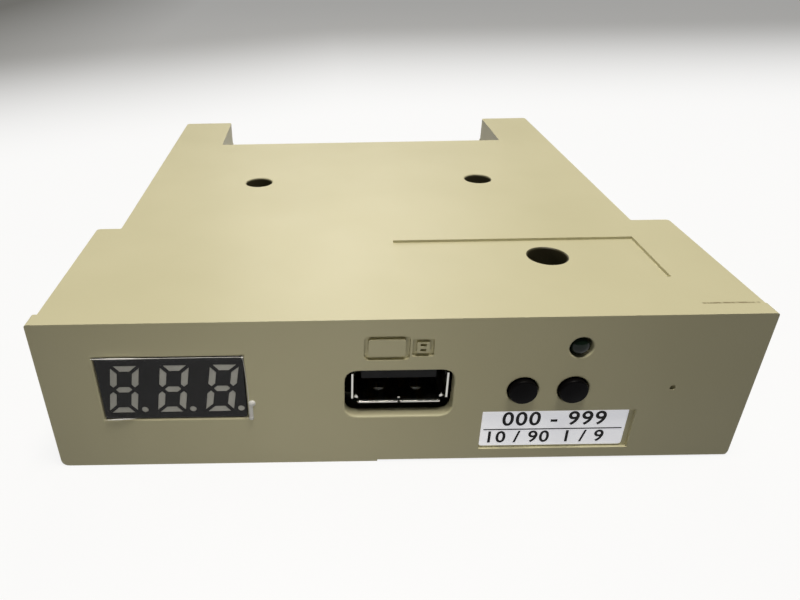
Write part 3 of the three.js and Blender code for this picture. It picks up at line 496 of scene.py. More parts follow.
# Glass-filled polyester of headers and switches: black, dry and slightly grey where the fibres surface.
BLACK_POLYESTER = Finish("moulded_black_polyester", "0f0f10", "151516", 0.55, gleam=0.2, drift_mm=4.0,
                         grain_mm=0.25, grain_depth_mm=0.006)
# Printed black face of the display's reflector: smooth and a little glossy.
DISPLAY_INK = Finish("screen_printed_black_face", "141416", "19191b", 0.35, gleam=0.2, drift_mm=6.0,
                     grain=Grain.CAST, grain_mm=0.5, grain_depth_mm=0.0015)
# Milky epoxy that fills the unlit bars: flat grey, since it scatters light inside.
MILKY_EPOXY = Finish("cast_milky_epoxy", "ccccc6", "c2c2bc", 0.38, ior=1.54, drift_mm=2.5, grain=Grain.CAST,
                     grain_mm=0.4, grain_depth_mm=0.002)
# Protective polyethylene film with its handling wrinkles. Clear, and bright where it turns edge on.
CLEAR_FILM = ClearSheet("blown_polyethylene_film", "f2f3f4", "e6e8ea", 0.16, ior=1.51, drift_mm=5.0,
                        grain=Grain.CAST, grain_mm=2.2, grain_depth_mm=0.05, haze=0.0, edge_haze=0.5)
# The cut rim of the same film, drawn as white strands along its curled edges.
FILM_RIM = Finish("cut_polyethylene_rim", "f4f4f2", "dcdcda", 0.35, ior=1.51, drift_mm=1.2, grain_mm=0.3,
                  grain_depth_mm=0.01)
# Nickel-plated steel strip, folded into shells and covers: bright with faint rolling lines.
NICKEL_STEEL = Finish("nickel_plated_steel", "d6d5cf", "c8c7c0", 0.2, metallic=1.0, drift_mm=5.0,
                      grain=Grain.ROLLED, grain_mm=0.6, grain_depth_mm=0.002, gloss_spread=0.07)
# Gold flash over phosphor bronze: warm yellow contacts and header pins.
GOLD_FLASH = Finish("gold_flashed_bronze", "e3bf6a", "d8ac55", 0.24, metallic=1.0, drift_mm=2.0,
                    grain=Grain.ROLLED, grain_mm=0.4, grain_depth_mm=0.001)
# Hot-dipped tin on leads and pads: grey white, softly mirrored, with slumped solder tones.
TIN_PLATE = Finish("hot_dipped_tin", "c9cac8", "b3b4b3", 0.33, metallic=1.0, drift_mm=1.5, grain=Grain.CAST,
                   grain_mm=0.5, grain_depth_mm=0.006, gloss_spread=0.1)
# Zinc-plated screws: bluish grey steel, dulled by its passivation.
ZINC_STEEL = Finish("zinc_plated_steel", "a9adb0", "989c9e", 0.38, metallic=1.0, drift_mm=1.8,
                    grain=Grain.CAST, grain_mm=0.25, grain_depth_mm=0.004, gloss_spread=0.1)
# Solder mask: glossy green lacquer that follows the copper.
GREEN_MASK = SolderMask("green_solder_mask", "1d5b31", "18502a", 0.3, ior=1.52, coat=0.3, drift_mm=9.0,
                        grain_mm=0.9, grain_depth_mm=0.006)
# Smoked green epoxy of the light, unlit: nearly black and smooth, with a small clear highlight on the dome.
SMOKED_EPOXY = Finish("cast_smoked_green_epoxy", "101a13", "152219", 0.12, gleam=0.2, drift_mm=2.0,
                      grain=Grain.CAST, grain_mm=0.8, grain_depth_mm=0.001, gloss_spread=0.03)
# Natural nylon of the power plug's housing: warm white and waxy.
NATURAL_NYLON = Finish("moulded_natural_nylon", "e6e1d0", "ded8c4", 0.42, ior=1.53, drift_mm=5.0,
                       grain_mm=0.3, grain_depth_mm=0.005)
# Filled epoxy that chips are moulded in: dark grey, matt, with a fine sandy skin.
CHIP_EPOXY = Finish("moulded_chip_epoxy", "26272a", "2c2d30", 0.62, ior=1.55, drift_mm=3.0, grain_mm=0.18,
                    grain_depth_mm=0.01)
# Deep-drawn aluminium cans: silvery with a soft sheen round the barrel.
DRAWN_ALUMINIUM = Finish("drawn_aluminium", "c4c6c8", "b7b9bb", 0.28, metallic=1.0, drift_mm=3.0,
                         grain=Grain.ROLLED, grain_mm=0.5, grain_depth_mm=0.002, gloss_spread=0.08)
# Fired ceramic of the small capacitors: tan and chalky.
TAN_CERAMIC = Finish("fired_tan_ceramic", "9a7c5c", "8f7050", 0.6, ior=1.6, drift_mm=0.8, grain_mm=0.12,
                     grain_depth_mm=0.004)
# Coated white paper of the label: matt, bright and very slightly fibrous, with a painted glow that lifts it
# above the light it gets.
COATED_PAPER = BrightPaper("coated_label_paper", "fbfbf8", "f6f6f1", 0.5, ior=1.46, drift_mm=7.0,
                           grain_mm=0.4, grain_depth_mm=0.006)
# Thermal-transfer print: dense black resin that sits on the paper.
BLACK_PRINT = Finish("thermal_transfer_print", "0a0a0a", "101010", 0.45, gleam=0.15, drift_mm=1.5,
                     grain_mm=0.2, grain_depth_mm=0.003)


def ridden(piece: Piece, finish: Finish, stands_for: Sequence[str] = (),
           body: str = CASE_BODY) -> Piece:
    """Gives a new piece its finish, its body and the nodes that it stands for.

    Args:
        piece: The new object.
        finish: What it is made of.
        stands_for: Frame nodes that it takes the place of.
        body: Body that carries it.

    Returns:
        The same object.
    """
    piece.data.materials.clear()
    piece.data.materials.append(finish.material())
    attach(piece, body)
    if stands_for:
        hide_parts(*stands_for)
    log.info("%s: %s, %d faces", piece.name, finish.title, len(piece.data.polygons))
    return piece


def linked(name: str, data: bpy.types.ID) -> Piece:
    """Makes an object of its data and puts it in the scene."""
    made = bpy.data.objects.new(name, data)
    bpy.context.scene.collection.objects.link(made)
    return made


def evaluated_mesh(piece: Piece) -> bpy.types.Mesh:
    """Gives the mesh of a piece as it shows, with its modifiers."""
    bpy.context.view_layer.update()
    return bpy.data.meshes.new_from_object(piece.evaluated_get(bpy.context.evaluated_depsgraph_get()))


def placed(name: str, shape: Shape) -> Piece:
    """Turns a finished shape in millimetres into an object in metres.

    Args:
        name: Name of the piece.
        shape: The shape, freed here.

    Returns:
        The linked object, smooth apart from its sharp edges.
    """
    bmesh.ops.recalc_face_normals(shape, faces=shape.faces)
    bmesh.ops.scale(shape, vec=Vector((MM, MM, MM)), verts=shape.verts)
    mesh = bpy.data.meshes.new(name)
    shape.to_mesh(mesh)
    shape.free()
    mesh.shade_smooth()
    mesh.set_sharp_from_angle(angle=math.radians(CREASE_DEGREES))
    return linked(name, mesh)


def eased(piece: Piece, radius_mm: float, steps: int = 2, degrees: float = EDGE_DEGREES) -> Piece:
    """Rounds the sharp edges of a piece and keeps its flats flat.

    Args:
        piece: Object that gets the modifiers.
        radius_mm: Edge radius.
        steps: Faces across each rounding.
        degrees: Edges sharper than this are rounded.

    Returns:
        The same object.
    """
    edge = piece.modifiers.new("edge", "BEVEL")
    edge.width = radius_mm * MM
    edge.segments = steps
    edge.limit_method = "ANGLE"
    edge.angle_limit = math.radians(degrees)
    edge.use_clamp_overlap = True
    return level_shading(baked(piece))


def edge_gap(one: Edge, other: Edge) -> tuple[float, bool]:
    """Measures the gap between two edges that don't meet.

    Args:
        one: An edge.
        other: Another edge.

    Returns:
        The gap, and True where it lies sideways of the first edge rather than ahead of it.
    """
    gaps = []
    for edge, line in ((one, other), (other, one)):
        start, end = (vert.co for vert in line.verts)
        for vert in edge.verts:
            share = geometry.intersect_point_line(vert.co, start, end)[1]
            gaps.append(vert.co - start.lerp(end, min(max(share, 0.0), 1.0)))
    gap = min(gaps, key=lambda step: step.length)
    along = (one.verts[1].co - one.verts[0].co).normalized()
    return gap.length, abs(gap.dot(along)) < AHEAD_SHARE * gap.length


def inward_turn(face: bmesh.types.BMFace, edge: Edge, other: Edge, vert: Corner) -> float:
    """Gives how far a face's outline turns inward from one edge to the next.

    Args:
        face: The face.
        edge: An edge of its outline.
        other: The edge that meets it.
        vert: The corner that they share.

    Returns:
        The turn in radians, or nought where the outline turns outward.
    """
    along = vert.co - edge.other_vert(vert).co
    onward = other.other_vert(vert).co - vert.co
    loop = next(loop for loop in edge.link_loops if loop.face is face)
    forward = loop.link_loop_next.vert is vert
    left = face.normal.dot(along.cross(onward)) > 0
    return min(along.angle(onward, 0.0), SHARPEST_TURN) if left == forward else 0.0


def roomy_edges(shape: Shape, radius: float) -> list[Edge]:
    """Finds the sharp edges that a rounding fits on without folding over its neighbours.

    Args:
        shape: The shape, with flat faces in one piece.
        radius: Edge radius, in the shape's own unit.

    Returns:
        The edges.
    """
    sharp = {edge for edge in shape.edges if edge.calc_face_angle(0.0) > math.radians(EDGE_DEGREES)}
    tight = set()
    for face in shape.faces:
        outline = [edge for edge in face.edges if edge in sharp]
        for edge in outline:
            used = sum(math.tan(inward_turn(face, edge, other, vert) / 2) for other in outline
                       if other is not edge for vert in edge.verts if vert in other.verts)
            near = [edge_gap(edge, other) for other in outline if not set(edge.verts) & set(other.verts)]
            if (edge.calc_length() < CORNER_ROOM * radius * used
                    or any(gap < SIDE_ROOM * radius and (sideways or used) for gap, sideways in near)):
                tight.add(edge)
    spreading = list(tight)
    while spreading:
        edge = spreading.pop()
        beside = {other for vert in edge.verts for other in vert.link_edges if other in sharp} - tight
        short = {other for other in beside
                 if max(edge.calc_length(), other.calc_length()) < SHORT_EDGE * radius}
        tight |= short
        spreading += short
    return [edge for edge in shape.edges if edge in sharp and edge not in tight]


def moulded(node: str, edge_mm: float) -> Piece:
    """Copies a frame node and rounds its edges wherever there is room.

    Args:
        node: Name of the node.
        edge_mm: Edge radius.

    Returns:
        The copy.
    """
    source = bpy.data.objects[node]
    shape = bmesh.new()
    shape.from_mesh(source.data)
    bmesh.ops.transform(shape, matrix=Matrix.Scale(1 / MM, 4) @ source.matrix_world, verts=shape.verts)
    bmesh.ops.remove_doubles(shape, verts=shape.verts, dist=WELD_MM)
    bmesh.ops.dissolve_limit(shape, angle_limit=math.radians(FLAT_DEGREES), verts=shape.verts,
                             edges=shape.edges)
    bmesh.ops.bevel(shape, geom=roomy_edges(shape, edge_mm), offset=edge_mm, segments=EDGE_STEPS,
                    profile=0.5, affect="EDGES", loop_slide=False)
    return placed(f"{node}_skin", shape)


def baked(piece: Piece) -> Piece:
    """Makes a piece's modifiers part of its mesh."""
    mesh = evaluated_mesh(piece)
    piece.modifiers.clear()
    piece.data = mesh
    return piece


def level_shading(piece: Piece) -> Piece:
    """Keeps the shading of flats level up to their rounded edges.

    Args:
        piece: The piece. Each corner of a face gets the mean normal, by area, of the faces round that corner
            that bend from it by less than a crease.

    Returns:
        The same object.
    """
    mesh = piece.data
    around: list[list[bpy.types.MeshPolygon]] = [[] for _ in mesh.vertices]
    for face in mesh.polygons:
        for vert in face.vertices:
            around[vert].append(face)
    crease = math.cos(math.radians(CREASE_DEGREES))
    normals = [
        sum((other.normal * other.area for other in around[vert] if other.normal.dot(face.normal) > crease),
            Vector()).normalized() for face in mesh.polygons for vert in face.vertices]
    mesh.normals_split_custom_set(normals)
    return piece


def dressed(node: str, finish: Finish, edge_mm: float, body: str = CASE_BODY) -> Piece:
    """Stands a copy with eased edges and its own finish in a frame node's place.

    Args:
        node: Name of the node.
        finish: What it is made of.
        edge_mm: Edge radius.
        body: Body that carries it.

    Returns:
        The copy.
    """
    return ridden(level_shading(moulded(node, edge_mm)), finish, [node], body)


def node_box(node: str) -> tuple[Vector, Vector]:
    """Gives a frame node's lowest and highest corner in millimetres."""
    low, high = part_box(node)
    return low / MM, high / MM


def front_middle(node: str) -> Vector:
    """Gives the middle of the front of a frame node's box in millimetres."""
    low, high = node_box(node)
    return Vector(((low.x + high.x) / 2, low.y, (low.z + high.z) / 2))


def stepped(whole: float, steps: int) -> list[float]:
    """Gives the values from nought to a whole in even steps."""
    return [whole * step / steps for step in range(steps + 1)]


def join_rings(shape: Shape, rings: Sequence[list[Corner]], closed: bool = True) -> None:
    """Joins rings of as many corners, each to the next, with bands of faces.

    Args:
        shape: Shape that holds the corners.
        rings: The rings in order.
        closed: True to close the first and the last ring too.
    """
    if closed:
        shape.faces.new(rings[0])
        shape.faces.new(reversed(rings[-1]))
    for ring, following in zip(rings, rings[1:]):
        for i, corner in enumerate(ring):
            after = (i + 1) % len(ring)
            shape.faces.new((corner, following[i], following[after], ring[after]))


def add_block(shape: Shape, low: Iterable[float], high: Iterable[float], chamfer: float = 0.0) -> None:
    """Adds a block, with its edges cut back.

    Args:
        shape: Shape that gets the block.
        low: Lowest corner.
        high: Highest corner.
        chamfer: Width of the cut edges.
    """
    low, high = Vector(low), Vector(high)
    stretch = Matrix.LocRotScale((low + high) / 2, None, high - low)
    made = bmesh.ops.create_cube(shape, size=1.0, matrix=stretch)
    if chamfer:
        edges = list({edge for vert in made["verts"] for edge in vert.link_edges})
        bmesh.ops.bevel(shape, geom=edges, offset=chamfer, segments=1, affect="EDGES", profile=0.5)


def add_prism(shape: Shape, outline: Outline, y0: float, y1: float) -> None:
    """Adds an outline in X and Z, driven from y0 back to y1.

    Args:
        shape: Shape that gets the prism.
        outline: Corners in order.
        y0: Front of the prism.
        y1: Back of the prism.
    """
    join_rings(shape, [[shape.verts.new((x, y, z)) for x, z in outline] for y in (y0, y1)])


def rounded(x: float, z: float, width: float, height: float, radius: float, steps: int = 5) -> Outline:
    """Gives a rectangle about a middle, with rounded corners.

    Args:
        x: Middle across.
        z: Middle up.
        width: Full width.
        height: Full height.
        radius: Corner radius.
        steps: Steps round each corner.

    Returns:
        Corners in order.
    """
    corners = []
    for quarter, (sx, sz) in enumerate(((1, 1), (-1, 1), (-1, -1), (1, -1))):
        cx, cz = x + sx * (width / 2 - radius), z + sz * (height / 2 - radius)
        for share in stepped(1.0, steps):
            angle = (quarter + share) * QUARTER
            corners.append((cx + radius * math.cos(angle), cz + radius * math.sin(angle)))
    return corners


def add_turned(shape: Shape, profile: Sequence[Pair], centre: Vector, upright: bool,
               sides: int = 64) -> None:
    """Adds a profile turned about Y, or about Z when upright.

    Args:
        shape: Shape that gets the turned body.
        profile: Radius and place along the axis, from one end to the other.
        centre: Point that the places along the axis count from.
        upright: True to turn about Z.
        sides: Steps round the axis.
    """
    rows = []
    for radius, along in profile:
        ring = []
        for side in range(sides if radius else 1):
            angle = 2 * math.pi * side / sides
            across, up = radius * math.cos(angle), radius * math.sin(angle)
            offset = Vector((across, up, along)) if upright else Vector((across, along, up))
            ring.append(shape.verts.new(centre + offset))
        rows.append(ring)
    for row, following in zip(rows, rows[1:]):
        for side in range(sides):
            corners = [row[side % len(row)], row[(side + 1) % len(row)],
                       following[(side + 1) % len(following)], following[side % len(following)]]
            shape.faces.new(list(dict.fromkeys(corners)))


def add_wire(shape: Shape, path: Sequence[Vector], across: Vector, width: float, height: float) -> None:
    """Adds a wire of oblong section that keeps one direction across while it bends.

    Args:
        shape: Shape that gets the wire.
        path: Middle line of the wire.
        across: Unit direction across the wire, square to the whole path.
        width: Size across.
        height: Size in the plane of the bends.
    """
    rings = []
    for i, point in enumerate(path):
        before = (point - path[i - 1]).normalized() if i else None
        after = (path[i + 1] - point).normalized() if i + 1 < len(path) else None
        along = ((before or after) + (after or before)).normalized()
        normal = across.cross(along)
        mitre = 1 / max(along.dot(after or before), 0.5)
        rings.append([shape.verts.new(point + across * (sx * width / 2) + normal * (sn * height * mitre / 2))
                      for sx, sn in ((-1, -1), (1, -1), (1, 1), (-1, 1))])
    join_rings(shape, rings)


def add_strand(shape: Shape, path: Sequence[Vector], radii: Sequence[float], sides: int = 8) -> None:
    """Adds a round strand that swells and thins along a path near the face.

    Args:
        shape: Shape that gets the strand.
        path: Middle line of the strand.
        radii: Its radius at each point.
        sides: Steps round the strand.
    """
    rings = []
    for i, (point, radius) in enumerate(zip(path, radii)):
        along = (path[min(i + 1, len(path) - 1)] - path[max(i - 1, 0)]).normalized()
        across = along.cross(Vector((0.0, 1.0, 0.0))).normalized()
        outward = across.cross(along)
        rings.append([shape.verts.new(point + (across * math.cos(a) + outward * math.sin(a)) * radius)
                      for a in stepped(2 * math.pi, sides)[:-1]])
    join_rings(shape, rings)


def bend(corner: Vector, before: Vector, after: Vector, radius: float, steps: int = 4) -> list[Vector]:
    """Rounds one corner of a path.

    Args:
        corner: The corner point.
        before: The point that the path comes from.
        after: The point that it goes to.
        radius: Distance from the corner at which the bend starts and ends.
        steps: Steps along the bend.

    Returns:
        Points along the bend.
    """
    start = corner + (before - corner).normalized() * radius
    end = corner + (after - corner).normalized() * radius
    return [start * (1 - t) ** 2 + corner * (2 * t * (1 - t)) + end * t ** 2 for t in stepped(1.0, steps)]


def spread(middle: float, pitch: float, count: int) -> list[float]:
    """Gives the places of a row of things about a middle."""
    return [middle + (i - (count - 1) / 2) * pitch for i in range(count)]


@dataclass
class Case:
    """Both halves of the case, the sign let into the face, and the screws.

    Attributes:
        edge_mm: Edge radius of the upper housing.
        cover_edge_mm: Edge radius of the bottom cover.
        sign_x: Middle of the sign across.
        sign_z: Middle of the sign up.
        sign_depth: Depth of its lines.
        sign_line: Width of its lines.
        stick_size: Width and height of the stick's body in the sign.
        stick_corner: Its corner radius.
        plug_size: Width and height of its plug.
        plug_corner: Its corner radius.
        plug_gap: Gap between the stick and its plug.
        hole_size: Height of each contact in the plug, which is twice as wide.
        screw_edge_mm: Edge radius of the screws.
    """

    edge_mm: float = 0.26
    cover_edge_mm: float = 0.2
    sign_x: float = 0.0
    sign_z: float = 20.75
    sign_depth: float = 0.6
    sign_line: float = 0.62
    stick_size: Pair = (6.4, 4.0)
    stick_corner: float = 0.7
    plug_size: Pair = (3.0, 2.9)
    plug_corner: float = 0.25
    plug_gap: float = 0.3
    hole_size: float = 0.42
    screw_edge_mm: float = 0.12

    def sign_cutter(self) -> Piece:
        """Makes the solid that cuts a plain picture of a memory stick into the face."""
        face = node_box("upper_housing")[0].y
        shape = bmesh.new()
        y0, y1 = face - self.sign_depth, face + self.sign_depth
        total = self.stick_size[0] + self.plug_gap + self.plug_size[0]
        stick_x = self.sign_x - total / 2 + self.stick_size[0] / 2
        plug_x = self.sign_x + total / 2 - self.plug_size[0] / 2
        for x, (width, height), radius in ((stick_x, self.stick_size, self.stick_corner),
                                           (plug_x, self.plug_size, self.plug_corner)):
            outer = rounded(x, self.sign_z, width, height, radius)
            lines = 2 * self.sign_line
            inner = rounded(x, self.sign_z, width - lines, height - lines, radius / 2)
            rings = [[shape.verts.new((px, y, pz)) for px, pz in line]
                     for line, y in ((outer, y0), (outer, y1), (inner, y1), (inner, y0))]
            join_rings(shape, rings + rings[:1], closed=False)
        hole = self.hole_size
        for z in spread(self.sign_z, 2 * hole, 2):
            add_prism(shape, rounded(plug_x, z, 2 * hole, hole, hole / 5), y0, y1)
        return placed("sign_cutter", shape)

    def build(self) -> None:
        """Dresses the case."""
        housing = moulded("upper_housing", self.edge_mm)
        cutter = self.sign_cutter()
        sign = housing.modifiers.new("sign", "BOOLEAN")
        sign.object = cutter
        sign.solver = "MANIFOLD"
        baked(housing).data.set_sharp_from_angle(angle=math.radians(CREASE_DEGREES))
        bpy.data.objects.remove(cutter)
        ridden(level_shading(housing), PUTTY_ABS, ["upper_housing"])
        dressed("bottom_cover", PUTTY_ABS, self.cover_edge_mm)
        for node in ("case_screw_rear_left", "case_screw_rear_right", "case_screw_front_right",
                     "board_screw_front_left", "board_screw_rear_left", "board_screw_rear_right"):
            dressed(node, ZINC_STEEL, self.screw_edge_mm)


@dataclass
class StickSocket:
    """Socket for the memory stick: plated shell, tongue and contacts.

    Attributes:
        edge_mm: Edge radius of the sheet.
        sheet: Thickness of the sheet.
        contacts: How many contacts lie under the tongue.
        bump_pitch: Distance between the two bumps pressed up from the floor.
        bump_depth: How far they are from the lips.
        bump_radius: Radius of a bump.
        bump_height: Height of a bump.
    """

    edge_mm: float = 0.09
    sheet: float = 0.3
    contacts: int = 4
    bump_pitch: float = 5.6
    bump_depth: float = 3.4
    bump_radius: float = 0.95
    bump_height: float = 0.42

    def bumps(self) -> Piece:
        """Presses the two bumps that hold a plug."""
        low, high = node_box("socket_shell")
        floor = node_box("main_board")[1].z + self.sheet
        profile = [(self.bump_radius * math.sin(a), self.bump_height * math.cos(a))
                   for a in stepped(QUARTER, 8)]
        profile += [(self.bump_radius, -self.sheet / 2), (0.0, -self.sheet / 2)]
        shape = bmesh.new()
        for x in spread((low.x + high.x) / 2, self.bump_pitch, 2):
            add_turned(shape, profile, Vector((x, low.y + self.bump_depth, floor)), upright=True, sides=32)
        return placed("socket_bumps", shape)

    def build(self) -> None:
        """Dresses the socket."""
        dressed("socket_shell", NICKEL_STEEL, self.edge_mm)
        ridden(self.bumps(), NICKEL_STEEL)
        dressed("socket_tongue", BLACK_POLYESTER, 2 * self.edge_mm)
        for i in range(self.contacts):
            dressed(f"socket_contact_{i + 1}", GOLD_FLASH, self.edge_mm)


@dataclass
class PushButtons:
    """The two button caps and the switches behind them.

    Attributes:
        crown_mm: How far the crown bulges over its rim.
        edge_mm: Radius between the crown and the side.
        flange_mm: Thickness of the flange behind the face.
        flange_rim_mm: How far the flange reaches beyond the cap.
        switch_edge_mm: Edge radius of the switches.
    """

    crown_mm: float = 0.16
    edge_mm: float = 0.3
    flange_mm: float = 0.8
    flange_rim_mm: float = 0.78
    switch_edge_mm: float = 0.08

    def cap(self, side: str) -> Piece:
        """Turns one cap, as round as the real one.

        Args:
            side: Left or right.

        Returns:
            The cap.
        """
        low, high = node_box(f"{side}_button_cap")
        flange = (high.x - low.x) / 2
        radius = flange - self.flange_rim_mm
        length = high.y - low.y
        flat = radius - self.edge_mm
        crown = [(flat * share, self.crown_mm * share ** 2) for share in stepped(1.0, 4)]
        edge = [(flat + self.edge_mm * math.sin(a), self.crown_mm + self.edge_mm * (1 - math.cos(a)))
                for a in stepped(QUARTER, 6)[1:]]
        rear = [(radius, length - self.flange_mm), (flange, length - self.flange_mm), (flange, length),
                (0.0, length)]
        shape = bmesh.new()
        add_turned(shape, crown + edge + rear, front_middle(f"{side}_button_cap"), upright=False)
        return eased(placed(f"{side}_button_cap_turned", shape), self.switch_edge_mm, degrees=TURNED_DEGREES)

    def build(self) -> None:
        """Builds both buttons."""
        for side in BUTTON_SIDES:
            body = f"{side}_button"
            ridden(self.cap(side), BLACK_CAP_ABS, [f"{side}_button_cap"], body)
            dressed(f"{side}_switch_plunger", BLACK_POLYESTER, self.switch_edge_mm, body)
            dressed(f"{side}_switch_body", BLACK_POLYESTER, self.switch_edge_mm)
            dressed(f"{side}_switch_cover", NICKEL_STEEL, self.switch_edge_mm / 2)


@dataclass
class StatusLight:
    """The light in the face, its leads and its post.

    Attributes:
        radius_mm: Radius of the lens.
        dome_mm: Height of its dome.
        rim_mm: Length of the rim at its back.
        edge_mm: Edge radius of the leads and the post.
    """

    radius_mm: float = 1.45
    dome_mm: float = 1.0
    rim_mm: float = 0.9
    edge_mm: float = 0.08

    def lens(self) -> Piece:
        """Turns the lens: a low dome on a barrel with a rim."""
        low, high = node_box("status_light")
        length, rim = high.y - low.y, (high.x - low.x) / 2
        dome = [(self.radius_mm * math.sin(a), self.dome_mm * (1 - math.cos(a)))
                for a in stepped(QUARTER, 12)]
        barrel = [(self.radius_mm, length - self.rim_mm), (rim, length - self.rim_mm), (rim, length),
                  (0.0, length)]
        shape = bmesh.new()
        add_turned(shape, dome + barrel, front_middle("status_light"), upright=False)
        return eased(placed("status_light_lens", shape), self.edge_mm / 2, degrees=TURNED_DEGREES)

    def build(self) -> None:
        """Builds the light."""
        ridden(self.lens(), SMOKED_EPOXY, ["status_light"])
        for i in (1, 2):
            dressed(f"status_light_lead_{i}", TIN_PLATE, self.edge_mm / 2)
        dressed("status_light_post", BLACK_POLYESTER, self.edge_mm)


def past(share: float, start: float) -> float:
    """Gives how far a share has gone past a start, from nought at the start to one at the end."""
    return max(0.0, (share - start) / (1 - start))


@dataclass
class ProtectiveFilm:
    """Clear film over the digits, curled at its top, its right and its left foot, with its rim and pull tab.

    Attributes:
        middle: Middle of the front of the display, which the film is laid on.
        width: Width of the film.
        height: Height of the film.
        rise: How far it sits above the middle of the display.
        lift: How far it stands off the display.
        least_lift: The least that its wrinkles leave of that.
        top_curl: Share of the height where the top starts to curl, and how far its edge comes out.
        right_curl: Share of the width where the right side starts to curl, and how far its edge comes out.
        right_wave: Depth, turn and start of the wave along that edge.
        foot_curl: Share of the height at which the left foot starts to curl, and how far it comes out.
        foot_fade: Share of the width that this curl fades over.
        wrinkles: Count across, count up, layer of noise and depth, for the large and the small ones.
        rim_calm: Share of the wrinkles left at the rim, and how fast they grow inward.
        bow: Share of the width where the right side bows, and how far it does at mid height and at the foot.
        grid: Faces across and up.
        rim: Radius of the cut rim where it is thickest.
        rim_share: Thinnest rim as a share of the thickest.
        rim_peak: Share of the width where the top rim is thickest, and the share that it thins over.
        rim_steps: Steps along each run of the rim.
        rim_foot: Share of the width that the rim of the foot runs along.
        rim_blunt: Share of that rim over which each end keeps its thickness.
        tab_height: Height of the pull tab beside the window.
        tab_width: Width of the pull tab.
        tab_round: Its width in corner radii.
        tab_gap: Distance from the film to the middle of the tab.
        tab_lift: How far the tab stands off the face, as a share of its width.
        tab_sink: How far it reaches into the face.
        curl_depth: Depth of a curled end as a share of its radius.
        curl_sizes: Radius of the three curled ends, the first in rims and the others in tab lifts.
    """

    middle: Vector
    width: float = 21.0
    height: float = 10.9
    rise: float = 0.2
    lift: float = 0.16
    least_lift: float = 0.06
    top_curl: Pair = (0.9, 0.42)
    right_curl: Pair = (0.95, 0.34)
    right_wave: Triple = (0.45, 9.0, 0.8)
    foot_curl: Pair = (0.09, 0.3)
    foot_fade: float = 0.3
    wrinkles: tuple[tuple[float, float, float, float], ...] = ((5.2, 2.6, 0.3, 0.07), (13.0, 9.0, 2.1, 0.02))
    rim_calm: Pair = (0.3, 6.0)
    bow: Triple = (0.9, 0.16, 0.25)
    grid: tuple[int, int] = (96, 56)
    rim: float = 0.11
    rim_share: float = 0.3
    rim_peak: Pair = (0.18, 0.14)
    rim_steps: int = 40
    rim_foot: float = 0.22
    rim_blunt: float = 0.02
    tab_height: float = 2.7
    tab_width: float = 0.5
    tab_round: float = 2.2
    tab_gap: float = 0.58
    tab_lift: float = 0.35
    tab_sink: float = 0.02
    curl_depth: float = 0.6
    curl_sizes: Triple = (1.5, 3.0, 2.2)

    def point(self, u: float, v: float) -> Vector:
        """Places one point of the film.

        Args:
            u: Share of the way across.
            v: Share of the way up.

        Returns:
            The point, pushed out where the film lifts.
        """
        top = past(v, self.top_curl[0]) ** 2 * self.top_curl[1]
        foot = past(1 - v, 1 - self.foot_curl[0]) ** 2 * self.foot_curl[1] * past(1 - u, 1 - self.foot_fade)
        depth, turn, start = self.right_wave
        right = past(u, self.right_curl[0]) ** 2 * self.right_curl[1] * (
            1 - depth + depth * math.sin(v * turn + start))
        wrinkle = sum(noise.noise(Vector((u * across, v * up, layer))) * deep
                      for across, up, layer, deep in self.wrinkles)
        left, growth = self.rim_calm
        out = self.lift + top + foot + right + wrinkle * min(1.0, growth * min(u, v, 1 - u, 1 - v) + left)
        side, mid_bow, foot_bow = self.bow
        bow = (mid_bow * math.sin(math.pi * v) + foot_bow * (1 - v)) * past(u, side)
        return self.middle + Vector((
            (u - 0.5) * self.width + bow, -max(out, self.least_lift), self.rise + (v - 0.5) * self.height))

    def sheet(self) -> Piece:
        """Lays the clear film over the digits."""
        across, up = self.grid
        shape = bmesh.new()
        rows = [[shape.verts.new(self.point(u, v)) for u in stepped(1.0, across)] for v in stepped(1.0, up)]
        for low, high in zip(rows, rows[1:]):
            for i in range(across):
                shape.faces.new((low[i], low[i + 1], high[i + 1], high[i]))
        return placed("display_film", shape)

    def rim_and_tab(self) -> Piece:
        """Runs the white rim along the top, the right and the left foot, and adds the pull tab."""
        shape = bmesh.new()
        shares = stepped(1.0, self.rim_steps)
        thick, thin = self.rim, self.rim * self.rim_share
        peak, fade = self.rim_peak
        blunt = self.rim_blunt
        top = [(self.point(u, 1.0), thin + (thick - thin) * math.exp(-((u - peak) / fade) ** 2))
               for u in shares]
        right = [(self.point(1.0, 1 - u), thin) for u in shares[1:]]
        foot = [(self.point(self.rim_foot * u, 0.0),
                 thick * math.sin(math.pi * min(max(u, blunt), 1 - blunt))) for u in shares]
        for line in (top + right, foot):
            add_strand(shape, [point for point, _ in line], [radius for _, radius in line])
        tab_x = self.middle.x + self.width / 2 + self.tab_gap
        tab_z = self.middle.z + (self.tab_height - self.height) / 2
        face = node_box("upper_housing")[0].y
        lift, corner = self.tab_width * self.tab_lift, self.tab_width / self.tab_round
        add_prism(shape, rounded(tab_x, tab_z, self.tab_width, self.tab_height, corner),
                  face - lift, face + self.tab_sink)
        places = (top[-1][0], Vector((tab_x + lift, face, tab_z + self.tab_height / 2)),
                  Vector((tab_x - lift / 2, face, tab_z - self.tab_height / 2)))
        for place, size, unit in zip(places, self.curl_sizes, (thick, lift, lift)):
            radius = size * unit
            curl = [(radius * math.sin(a), -radius * self.curl_depth * math.cos(a))
                    for a in stepped(math.pi, 8)]
            curl[-1] = (0.0, curl[-1][1])
            add_turned(shape, curl, place, upright=False, sides=16)
        return placed("display_film_rim", shape)

    def build(self) -> None:
        """Lays the film."""
        ridden(self.sheet(), CLEAR_FILM)
        ridden(self.rim_and_tab(), FILM_RIM)


